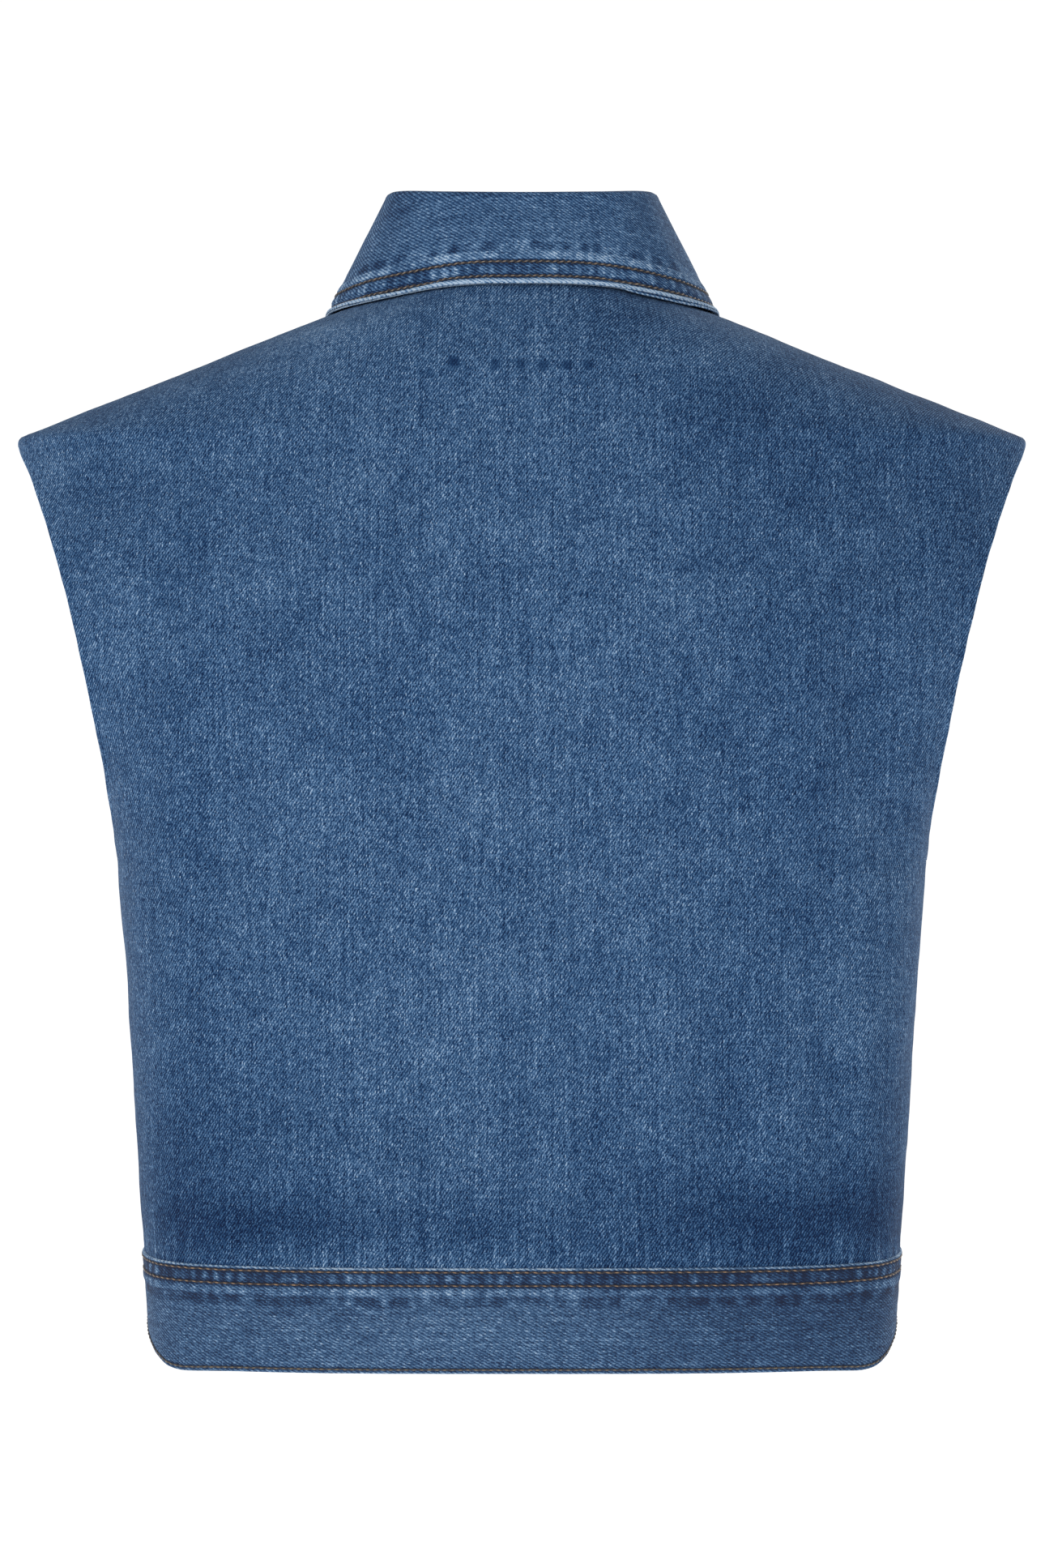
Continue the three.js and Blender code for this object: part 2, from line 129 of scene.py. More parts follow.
# Soft folds along straight runs: two ends, spread to each side and depth out of the cloth
FOLD_COLUMNS = ("side", "from_x", "from_z", "to_x", "to_z", "spread", "depth")
FOLDS = (
    (1, -196, -92, -170, -150, 13, -2.4),
    (1, -160, -160, -158, -225, 15, -2.6),
    (1, -158, -222, -184, -290, 13, -2.2),
    (1, -134, -150, -136, -270, 16, 1.6),
    (1, 139, -186, 137, -310, 15, -2.4),
    (1, 162, -170, 166, -290, 14, 1.5),
    (1, 150, -372, 10, -414, 14, -1.6),
    (1, -92, -330, -98, -452, 13, -1.8),
    (1, -122, -340, -128, -455, 12, 1.7),
    (1, 88, -100, 30, -170, 18, 1.2),
    (-1, 190, -100, 150, -190, 14, -2.4),
    (-1, -192, -104, -158, -180, 14, -2.2),
    (-1, 176, -282, 96, -226, 14, -2.2),
    (-1, -174, -276, -88, -232, 15, -1.9),
    (-1, 120, -318, 132, -450, 14, -2.2),
    (-1, 84, -330, 88, -446, 13, 1.7),
    (-1, -108, -300, -122, -452, 15, -2.2),
    (-1, -146, -330, -152, -440, 12, 1.5),
)

# Smaller creases of the same kind, which only the finished cloth has
CREASES = (
    (1, 214, -92, 176, -128, 8, -0.7),
    (1, 205, -128, 168, -168, 7, 0.6),
    (1, 186, -236, 150, -262, 8, -0.7),
    (1, 184, -268, 120, -300, 9, 0.6),
    (1, 168, -356, 96, -392, 6, 0.7),
    (1, 160, -398, 60, -424, 7, 0.6),
    (1, 176, -420, 112, -446, 8, -0.6),
    (1, 110, -338, 112, -452, 9, 0.5),
    (1, 52, -352, 46, -448, 10, -0.5),
    (1, 8, -360, 14, -450, 9, 0.5),
    (1, -38, -350, -32, -450, 9, -0.5),
    (1, -66, -318, -74, -448, 8, 0.7),
    (1, -108, -330, -112, -446, 6, 0.6),
    (1, -142, -352, -150, -452, 8, -0.8),
    (1, -160, -330, -166, -440, 7, 0.6),
    (1, -176, -236, -148, -268, 7, 0.7),
    (1, -188, -300, -130, -322, 9, -0.6),
    (1, -206, -118, -176, -176, 7, 0.7),
    (1, -176, -186, -150, -206, 6, -0.7),
    (1, -120, -96, -84, -150, 12, -0.6),
    (1, -96, -176, -104, -262, 11, -0.6),
    (1, 96, -190, 102, -290, 11, 0.6),
    (1, 60, -120, 68, -210, 13, -0.5),
    (1, 20, -150, 28, -270, 14, 0.4),
    (1, -40, -120, -34, -230, 14, 0.4),
    (-1, 206, -118, 170, -160, 8, 0.7),
    (-1, 178, -176, 140, -214, 9, -0.8),
    (-1, -204, -120, -170, -164, 8, 0.7),
    (-1, -180, -186, -136, -206, 9, -0.8),
    (-1, 182, -300, 118, -268, 8, 0.8),
    (-1, 150, -340, 70, -300, 9, -0.6),
    (-1, -180, -310, -124, -276, 8, 0.8),
    (-1, -150, -350, -84, -318, 9, -0.6),
    (-1, 60, -352, 62, -448, 9, -0.7),
    (-1, 104, -350, 110, -452, 7, 0.6),
    (-1, 152, -372, 158, -450, 8, -0.6),
    (-1, -66, -340, -70, -450, 9, 0.6),
    (-1, -92, -352, -96, -448, 8, -0.6),
    (-1, -132, -360, -136, -452, 7, 0.6),
    (-1, 96, -120, 88, -210, 12, 0.6),
    (-1, -92, -130, -90, -220, 12, -0.6),
)


# Form of the body

HALVINGS = 40
GIRTH_STEPS = 40
EDGE_ROUND = 0.92


def smoothstep(low, high, value):
    t = np.clip((value - low) / (high - low), 0, 1)
    return t * t * (3 - 2 * t)


def window(low, high, soft, value):
    """1 between low and high, fading over soft outside them."""
    return smoothstep(low - soft, low, value) * smoothstep(high + soft, high, value)


def bell(centre, width, value):
    return np.exp(-(((value - centre) / width) ** 2))


def column(table, names, name):
    return np.array([row[names.index(name)] for row in table], dtype=float)


def table_value(table, names, at, name):
    """One column of a table at any place along its first, on a smooth curve through its rows."""
    keys = column(table, names, names[0])
    values = column(table, names, name)
    slopes = np.gradient(values)
    slopes[1:-1] = (values[2:] - values[:-2]) / (keys[2:] - keys[:-2])
    slopes[0] = (values[1] - values[0]) / (keys[1] - keys[0])
    slopes[-1] = (values[-1] - values[-2]) / (keys[-1] - keys[-2])
    at = np.clip(at, keys[0], keys[-1])
    row = np.clip(np.searchsorted(keys, at, side="left") - 1, 0, len(keys) - 2)
    span = keys[row + 1] - keys[row]
    t = (at - keys[row]) / span
    start = 2 * t**3 - 3 * t**2 + 1
    curve = values[row] * start + values[row + 1] * (1 - start)
    curve += slopes[row] * span * (t**3 - 2 * t**2 + t)
    return curve + slopes[row + 1] * span * (t**3 - t**2)


def section_value(z, name):
    return table_value(SECTIONS, SECTION_COLUMNS, z, name)


def edge_half(z):
    """Half the width of the garment at a height, from the shoulder seam down to the hem."""
    shoulder = NECK_HALF - z / SHOULDER_DROP
    side = section_value(z, "half")
    least = np.minimum(shoulder, side)
    blend = np.exp((least - shoulder) / TIP_ROUND) + np.exp((least - side) / TIP_ROUND)
    return least - TIP_ROUND * np.log(blend)


def section_at(z, side):
    """Depth, squareness, edge, armhole cut and full reach of the sections at heights z."""
    depth = np.where(side > 0, section_value(z, "back"), section_value(z, "front"))
    square = section_value(z, "square")
    middle = (ARM_TOP + ARM_BOTTOM) / 2
    t = (z - middle) / (ARM_TOP - middle)
    deepest = np.where(side > 0, ARM_BACK, ARM_FRONT)
    cut = deepest * np.maximum(0, 1 - t * t) ** (1.5 / square)
    edge = edge_half(z)
    reach = edge / (1 - (cut / depth) ** square) ** (1 / square)
    return depth, square, edge, cut, reach


def depth_at(x, z, side):
    depth, square, _, _, reach = section_at(z, side)
    share = np.minimum(1, np.abs(x) / reach) ** square
    return depth * (1 - share) ** (1 / square)


def body_field(points):
    """Below 0 inside the body's outer face, 0 on it and above 0 outside."""
    x, y, z = np.moveaxis(points, -1, 0)
    depth, square, _, _, reach = section_at(z, np.where(y >= 0, BACK, FRONT))
    return (np.abs(x) / reach) ** square + (np.abs(y) / depth) ** square - 1


def body_slope(points):
    step = 0.2
    slope = np.empty_like(points)
    for axis in range(3):
        shift = np.zeros(3)
        shift[axis] = step
        slope[..., axis] = (body_field(points + shift) - body_field(points - shift)) / (2 * step)
    return slope


def unit(vectors):
    return vectors / np.linalg.norm(vectors, axis=-1, keepdims=True)


def run_offset(table, x, z, side):
    """What the folds of a table add to the cloth at the places x, z of one side."""
    offset = np.zeros_like(x)
    for fold_side, from_x, from_z, to_x, to_z, spread, depth in table:
        if fold_side != side:
            continue
        run_x = to_x - from_x
        run_z = to_z - from_z
        length = math.hypot(run_x, run_z)
        along = ((x - from_x) * run_x + (z - from_z) * run_z) / length**2
        away = ((x - from_x) * run_z - (z - from_z) * run_x) / length
        ends = smoothstep(-0.1, 0.3, along) * smoothstep(1.1, 0.7, along)
        offset += depth * ends * np.exp(-((away / spread) ** 2))
    return offset


def uneven(x, z, seed, shortest, longest, count=16):
    """A smooth uneven field about 1 high, made of crossing waves."""
    rng = np.random.default_rng(seed)
    field = np.zeros_like(x)
    for _ in range(count):
        wave = 2 * math.pi / rng.uniform(shortest, longest)
        heading = rng.uniform(0, math.pi)
        shift = rng.uniform(0, 2 * math.pi)
        field += np.sin(wave * (x * math.cos(heading) + z * math.sin(heading)) + shift)
    return field / math.sqrt(count)


def puckers(along, away, seed, spacing, width, reach, lean=0.0):
    """Small ridges that stand on a seam, where away is 0, and fade away from it."""
    rng = np.random.default_rng(seed)
    field = np.zeros_like(along)
    place = along.min()
    while place < along.max():
        place += rng.uniform(*spacing)
        height = rng.uniform(0.35, 1.0)
        wide = rng.uniform(*width)
        tall = rng.uniform(*reach)
        slant = rng.normal(lean, 0.1)
        across = along - place - slant * away
        field += height * np.exp(-((across / wide) ** 2)) * np.clip(1 - away / tall, 0, 1) ** 1.4
    return field


# Places on the cloth

def front_neck_height(x, forward):
    """The height at which the neckline's oval meets the front."""
    low = np.full_like(x, ARM_TOP)
    high = np.zeros_like(x)
    for _ in range(HALVINGS):
        middle = (low + high) / 2
        inside = depth_at(x, middle, FRONT) > forward
        low = np.where(inside, middle, low)
        high = np.where(inside, high, middle)
    return (low + high) / 2


def neckline(turn):
    """Points of the neckline from the centre back, where turn is 0 degrees, to the front."""
    angle = np.radians(turn)
    x = NECK_HALF * np.sin(angle)
    forward = -np.cos(angle)
    behind = forward <= 0
    y = np.where(behind, -forward * NECK_BACK, -forward * NECK_FRONT)
    z = np.where(behind, 0.0, front_neck_height(x, np.abs(y)))
    return np.stack([x, y, z], axis=-1)


def upper_edge(side, start_turn, share):
    """A panel's upper edge: the neckline from a starting turn, then the shoulder seam."""
    steps = share * (NECK_STEPS + SHOULDER_STEPS)
    turn = start_turn + (90 - start_turn) * np.minimum(1, steps / NECK_STEPS)
    neck = neckline(turn if side == BACK else 180 - turn)
    slide = np.clip((steps - NECK_STEPS) / SHOULDER_STEPS, 0, 1)
    fall = ARM_TOP * (1 - (1 - slide) ** 1.2)
    on_neck = steps <= NECK_STEPS
    x = np.where(on_neck, neck[..., 0], edge_half(fall))
    z = np.where(on_neck, neck[..., 2], fall)
    return x, z


def across_section(z, side, start_x, share):
    """x at a share of the way round the section at z, from a starting x to the side edge."""
    depth, square, edge, cut, reach = section_at(z, side)
    end_angle = np.arctan2(edge / reach, cut / depth)
    start_angle = np.arcsin(start_x / reach)
    cut_angle = math.pi / 2 - end_angle

    def raw(part):
        angle = start_angle + (math.pi / 2 - start_angle) * part - cut_angle * part**2
        sine = np.abs(np.sin(angle)) ** square
        cosine = np.abs(np.cos(angle)) ** square
        return reach * np.sin(angle) / (sine + cosine) ** (1 / square)

    first = raw(np.zeros_like(z))
    last = raw(np.ones_like(z))
    return start_x + (raw(share) - first) * (edge - start_x) / (last - first)


def side_share(share):
    return smoothstep(0.55, 0.95, share)


def panel_places(side, start_turn, start_x, share, step):
    """x and z of a panel, for shares across it (columns) and steps down it (rows)."""
    top_x, top_z = upper_edge(side, start_turn, share)
    yoke = np.minimum(1, step / YOKE_STEPS)[:, None]
    below = (np.maximum(0, step - YOKE_STEPS) / BODY_STEPS)[:, None]
    inner = 1 - np.cos(math.pi * yoke / 2)
    outer = (1 - np.cos(math.pi * yoke)) / 2
    drop = inner + (outer - inner) * share**6
    spread = smoothstep(0.3, 1, drop)
    seam_z = WAIST - TUCK + WAIST_LIFT * side_share(share)
    yoke_z = top_z + (ARM_BOTTOM - top_z) * drop
    z = np.where(below > 0, ARM_BOTTOM + (seam_z - ARM_BOTTOM) * below, yoke_z)
    wide = (top_x - start_x) * (edge_half(z) - start_x) / (top_x[-1] - start_x)
    hung = np.where(z < ARM_TOP, start_x + wide, top_x)
    even = across_section(z, side, start_x, np.broadcast_to(share, z.shape))
    return hung + (even - hung) * spread, z


def band_places(side, start_x, share, step):
    """x and z of the hem band, with steps from 0 at its upper edge to 1 at the hem."""
    lift = side_share(share)
    upper = WAIST - SEAM / 2 + WAIST_LIFT * lift
    lower = HEM + HEM_LIFT * smoothstep(0.55, 0.97, share) - HEM_DIP * bell(0.6, 0.1, share)
    z = upper + (lower - upper) * step[:, None]
    return across_section(z, side, start_x, np.broadcast_to(share, z.shape)), z


def both_halves(x, z):
    """The half at x of 0 and above, with its mirror image joined on."""
    return np.hstack([-x[:, :0:-1], x]), np.hstack([z[:, :0:-1], z])


def run_length(points, axis):
    """Length along the rows or columns of a grid, from its first point."""
    steps = np.linalg.norm(np.diff(points, axis=axis), axis=-1)
    start = np.zeros_like(np.take(steps, [0], axis=axis))
    return np.concatenate([start, np.cumsum(steps, axis=axis)], axis=axis)


# Levels and shares of the way round at which the cloth's upright length is measured
RUN_STEP = 4.0
RUN_FROM = -540.0
RUN_TO = 20.0
RUN_PARTS = 60


def upright_run(x, z, side):
    """Length of the cloth up to z at one share of the way round, from a level below the hem."""
    part, level = np.meshgrid(np.arange(RUN_PARTS + 1), np.arange(RUN_FROM, RUN_TO, RUN_STEP))
    depth, square, _, _, reach = section_at(level, side)
    angle = part * math.pi / 2 / RUN_PARTS
    line_x = reach * np.sin(angle) ** (2 / square)
    line_y = side * depth * np.cos(angle) ** (2 / square)
    steep = unit(body_slope(np.stack([line_x, line_y, level], axis=-1)))[..., 2]
    run = np.cumsum(1 / np.sqrt(np.maximum(0.1, 1 - steep**2)), axis=0) * RUN_STEP
    _, square, _, _, reach = section_at(z, side)
    around = np.arcsin(np.minimum(1, np.abs(x) / reach) ** (square / 2)) * 2 / math.pi
    around = np.clip(around * RUN_PARTS, 0, RUN_PARTS - 0.001)
    up = np.clip((z - RUN_FROM) / RUN_STEP, 0, run.shape[0] - 1.001)
    line = around.astype(int)
    row = up.astype(int)
    right = around - line
    above = up - row
    low = run[row, line] * (1 - right) + run[row, line + 1] * right
    high = run[row + 1, line] * (1 - right) + run[row + 1, line + 1] * right
    return low * (1 - above) + high * above


def girth_at(x, z, side):
    """Length round the section at z from its middle to x."""
    depth, square, _, _, reach = section_at(z, side)
    end = np.arcsin(np.minimum(1, np.abs(x) / reach) ** (square / 2))
    total = np.zeros_like(x)
    last_x = np.zeros_like(x)
    last_y = depth
    for i in range(1, GIRTH_STEPS + 1):
        angle = end * i / GIRTH_STEPS
        now_x = reach * np.sin(angle) ** (2 / square)
        now_y = depth * np.cos(angle) ** (2 / square)
        total += np.hypot(now_x - last_x, now_y - last_y)
        last_x = now_x
        last_y = now_y
    return total * np.sign(x)


def shares(count, close=(0.0006, 0.0013, 0.0026), close_start=False):
    """Even shares from 0 to 1 with a few more close to the end, where an edge is rounded."""
    inside = np.linspace(0, 1, count)
    ends = [1 - gap for gap in close]
    if close_start:
        ends += list(close)
    return np.unique(np.concatenate([inside, ends]))


def rounded_edge(distance, radius):
    """How far each face of a ply falls in towards its middle close to an edge."""
    t = np.clip(1 - distance / radius, 0, 1)
    return radius * (1 - np.sqrt(np.maximum(0, 1 - t * t))) * EDGE_ROUND


# Meshes

def add_object(name, data):
    made = bpy.data.objects.new(name, data)
    bpy.context.scene.collection.objects.link(made)
    return made


def wall_object(name, outer, inner, grain, marks, materials):
    """A closed wall between two grids of points, with the cloth's grain as its UV map."""
    rows, columns = outer.shape[:2]
    index = np.arange(rows * columns).reshape(rows, columns)
    under = index + rows * columns

    def quads(a, b, c, d):
        return np.stack([a, b, c, d], axis=-1).reshape(-1, 4)

    face = quads(index[:-1, :-1], index[1:, :-1], index[1:, 1:], index[:-1, 1:])
    lining = quads(under[:-1, :-1], under[:-1, 1:], under[1:, 1:], under[1:, :-1])
    rims = [
        quads(index[0, :-1], index[0, 1:], under[0, 1:], under[0, :-1]),
        quads(index[-1, 1:], index[-1, :-1], under[-1, :-1], under[-1, 1:]),
        quads(index[1:, 0], index[:-1, 0], under[:-1, 0], under[1:, 0]),
        quads(index[:-1, -1], index[1:, -1], under[1:, -1], under[:-1, -1]),
    ]
    faces = np.concatenate([face, *rims, lining])
    points = np.concatenate([outer.reshape(-1, 3), inner.reshape(-1, 3)]) * MM
    corners = points[faces]
    crossed = np.cross(corners[:, 2] - corners[:, 0], corners[:, 3] - corners[:, 1])
    volume = np.einsum("ij,ij->", crossed, corners.mean(axis=1))
    if volume < 0:
        faces = faces[:, ::-1]
    mesh = bpy.data.meshes.new(name)
    mesh.from_pydata(points.tolist(), [], faces.tolist())
    both = np.concatenate([grain.reshape(-1, 2)] * 2) * MM
    layer = mesh.uv_layers.new(name="grain")
    layer.data.foreach_set("uv", both[faces.reshape(-1)].astype(np.float32).ravel())
    for mark, values in marks.items():
        attribute = mesh.attributes.new(mark, "FLOAT", "POINT")
        both = np.concatenate([values.reshape(-1)] * 2).astype(np.float32)
        attribute.data.foreach_set("value", both)
    for material in materials:
        mesh.materials.append(material)
    inside = np.zeros(len(faces), dtype=np.int32)
    inside[-len(lining):] = 1
    mesh.polygons.foreach_set("material_index", inside)
    mesh.shade_smooth()
    mesh.update()
    made = add_object(name, mesh)
    return made


def grid_normals(points):
    down = np.gradient(points, axis=0)
    along = np.gradient(points, axis=1)
    return unit(np.cross(along, down))


class Cloth:
    """A grid of places on one side of the body, with what is measured along it."""

    def __init__(self, x, z, side, mirrored=False, under=False, thickness=CLOTH, outset=0.0):
        self.side = side
        self.thickness = thickness
        self.x = -x if mirrored else x
        self.z = z
        inset = (thickness + LAP_ROOM) * (1 - smoothstep(LAP + SEAM, LAP_RETURN, x))
        self.base = outset - (inset if under else 0)
        self.base = self.base + run_offset(FOLDS, self.x, z, side)
        self.surface = np.stack([self.x, side * depth_at(self.x, z, side), z], axis=-1)
        self.outwards = unit(body_slope(self.surface))
        self.girth = girth_at(self.x, z, side)
        across = run_length(self.surface, 1)
        down = run_length(self.surface, 0)
        self.from_start = across
        self.from_end = across[:, -1:] - across
        self.from_top = down
        self.from_bottom = down[-1:] - down
        self.drop = np.hypot(np.diff(self.surface[..., 1], axis=0), np.diff(z, axis=0))
        self.drop = np.vstack([np.zeros((1, x.shape[1])), np.cumsum(self.drop, axis=0)])
        self.height = self.drop[-1:] - self.drop
        self.warp = upright_run(self.x, z, side)
        self.nearest = np.minimum.reduce(
            [self.from_start, self.from_end, self.from_top, self.from_bottom]
        )

    def place(self, offset):
        points = self.surface + self.outwards * (self.base + offset)[..., None]
        points[..., 1] = self.side * np.maximum(0, self.side * points[..., 1])
        return points

    def build(self, name, lift, under_lift, marks, materials, warp_across=False):
        """Makes the wall: lift is added to its outer face and under_lift to its inner one."""
        radius = self.thickness / 2
        fall = rounded_edge(self.nearest, radius)
        self.outer = self.place(lift - fall)
        self.inner = self.place(under_lift - self.thickness + fall)
        if warp_across:
            grain = np.stack([self.warp, self.girth * self.side], axis=-1)
        else:
            grain = np.stack([self.girth * -self.side, self.warp], axis=-1)
        return wall_object(name, self.outer, self.inner, grain, marks, materials)


# Node graphs

class Number:
    """A number socket that can be written in Python sums."""

    def __init__(self, graph, socket):
        self.graph = graph
        self.socket = socket

    def math(self, operation, *others):
        return self.graph.math(operation, self, *others)

    def __add__(self, other):
        return self.math("ADD", other)

    def __radd__(self, other):
        return self.graph.math("ADD", other, self)

    def __sub__(self, other):
        return self.math("SUBTRACT", other)

    def __rsub__(self, other):
        return self.graph.math("SUBTRACT", other, self)

    def __mul__(self, other):
        return self.math("MULTIPLY", other)

    def __truediv__(self, other):
        return self.math("DIVIDE", other)

    def __pow__(self, other):
        return self.math("POWER", other)

    def floor(self):
        return self.math("FLOOR")

    def fraction(self):
        return self.math("FRACT")

    def clamped(self):
        return self.graph.math("ADD", self, 0.0, clamp=True)

    def between(self, low, high):
        """0 below low, 1 above high and smooth between them."""
        return self.graph.out(
            "ShaderNodeMapRange",
            {"interpolation_type": "SMOOTHSTEP"},
            {"Value": self, "From Min": low, "From Max": high},
            "Result",
        )


class Graph:
    """Adds nodes to a shader's or a geometry's tree."""

    def __init__(self, tree):
        self.tree = tree

    def node(self, kind, settings=None, sockets=None):
        made = self.tree.nodes.new(kind)
        for name, value in (settings or {}).items():
            if name == "stops":
                self.set_stops(made.color_ramp, value)
            else:
                setattr(made, name, value)
        for key, value in (sockets or {}).items():
            self.feed(made.inputs[key], value)
        return made

    def feed(self, socket, value):
        if isinstance(value, Number):
            value = value.socket
        if isinstance(value, bpy.types.NodeSocket):
            self.tree.links.new(value, socket)
        else:
            socket.default_value = value

    def set_stops(self, ramp, stops):
        while len(ramp.elements) > 1:
            ramp.elements.remove(ramp.elements[-1])
        ramp.elements[0].position = stops[0][0]
        ramp.elements[0].color = stops[0][1]
        for position, colour in stops[1:]:
            ramp.elements.new(position).color = colour

    def out(self, kind, settings, sockets, name):
        return Number(self, self.node(kind, settings, sockets).outputs[name])

    def math(self, operation, *values, clamp=False):
        settings = {"operation": operation, "use_clamp": clamp}
        return self.out("ShaderNodeMath", settings, dict(enumerate(values)), "Value")

    def vector(self, x=0.0, y=0.0, z=0.0):
        return self.node("ShaderNodeCombineXYZ", {}, {"X": x, "Y": y, "Z": z}).outputs["Vector"]

    def noise(self, vector, scale, detail=2.0, roughness=0.5):
        sockets = {"Vector": vector, "Scale": scale, "Detail": detail, "Roughness": roughness}
        return self.out("ShaderNodeTexNoise", {}, sockets, "Fac")

    def speck(self, x, y):
        """A random number for each pair of whole numbers."""
        sockets = {"Vector": self.vector(x, y)}
        return self.out("ShaderNodeTexWhiteNoise", {"noise_dimensions": "2D"}, sockets, "Value")

    def attribute(self, name):
        return self.out("ShaderNodeAttribute", {"attribute_name": name}, {}, "Fac")

    def mixed(self, share, first, second):
        """Blends two colours. Its colour sockets are found by number, since names repeat."""
        sockets = {0: share, 6: first, 7: second}
        return self.node("ShaderNodeMix", {"data_type": "RGBA"}, sockets).outputs[2]


def new_material(name):
    material = bpy.data.materials.new(name)
    material.use_nodes = True
    material.node_tree.nodes.clear()
    graph = Graph(material.node_tree)
    surface = graph.node("ShaderNodeBsdfPrincipled")
    output = graph.node("ShaderNodeOutputMaterial")
    graph.feed(output.inputs["Surface"], surface.outputs["BSDF"])
    return material, graph, surface


def linear(red, green, blue):
    """A colour given as display values from 0 to 255."""
    def one(value):
        value /= 255
        return value / 12.92 if value <= 0.04045 else ((value + 0.055) / 1.055) ** 2.4
    return one(red), one(green), one(blue), 1.0


# Pitches of the yarns in metres: ends run along the cloth and picks across it
END_PITCH = 0.000386
PICK_PITCH = 0.000571
TURNED_PICK_PITCH = 0.000687
TWILL_REPEAT = 4.0
WEFT_SHARE = 0.25
WEFT_SOFT = 0.06

# How far each unevenness of the cloth moves its fading
FLOAT_SHADE = 0.52
FLOAT_CHANCE = 0.28
END_CHANCE = 0.1
CROSSING_CHANCE = 0.5
SLUB_SHADE = 0.34
PICK_SLUB_SHADE = 0.18
MOTTLE_SHADE = 0.22
CLOUD_SHADE = 0.12
GRIT_SHADE = 0.54
# The wear mark also carries painted shade and painted light
WEAR_AND_PAINTED_SHADING_WEIGHT = 0.4
STREAK_SHADE = 0.16
DOT_SHADE = 0.62

# Indigo from the unfaded yarn to the bare cotton, by how far it has faded
INDIGO_STOPS = (
    (0.0, linear(1, 20, 52)),
    (0.22, linear(9, 42, 80)),
    (0.45, linear(42, 76, 113)),
    (0.66, linear(76, 109, 146)),
    (0.84, linear(116, 147, 180)),
    (1.0, linear(170, 190, 210)),
)
DUST = linear(106, 106, 97)

DOT_CORE = 0.5
DOT_RIM = 1.4
DOT_COLUMNS = ("x", "z", "radius", "strength")
WASH_DOTS = (
    (32.3, -40.4, 2.9, 0.9),
    (12.5, -41.7, 2.6, 0.65),
    (1.0, -41.7, 2.5, 0.55),
    (-10.0, -42.5, 2.6, 0.6),
    (-21.4, -42.2, 2.5, 0.75),
    (-31.2, -42.2, 2.6, 0.55),
    (48.0, -45.0, 2.2, 0.3),
    (43.0, -46.5, 2.4, 0.35),
    (37.5, -46.0, 2.0, 0.25),
)


def wash_dots(graph):
    """Round marks that the wash left on the back, 1 at the middle of the strongest."""
    position = graph.node("ShaderNodeTexCoord").outputs["Object"]
    parts = graph.node("ShaderNodeSeparateXYZ", {}, {"Vector": position}).outputs
    behind = Number(graph, parts["Y"]).between(0.02, 0.05)
    flat = graph.vector(parts["X"], 0.0, parts["Z"])
    total = behind * 0
    for x, z, radius, strength in WASH_DOTS:
        sockets = {0: flat, 1: (x * MM, 0, z * MM)}
        away = graph.out("ShaderNodeVectorMath", {"operation": "DISTANCE"}, sockets, "Value")
        faint = away.between(radius * DOT_CORE * MM, radius * DOT_RIM * MM)
        total = total + (1 - faint) * strength
    return total * behind


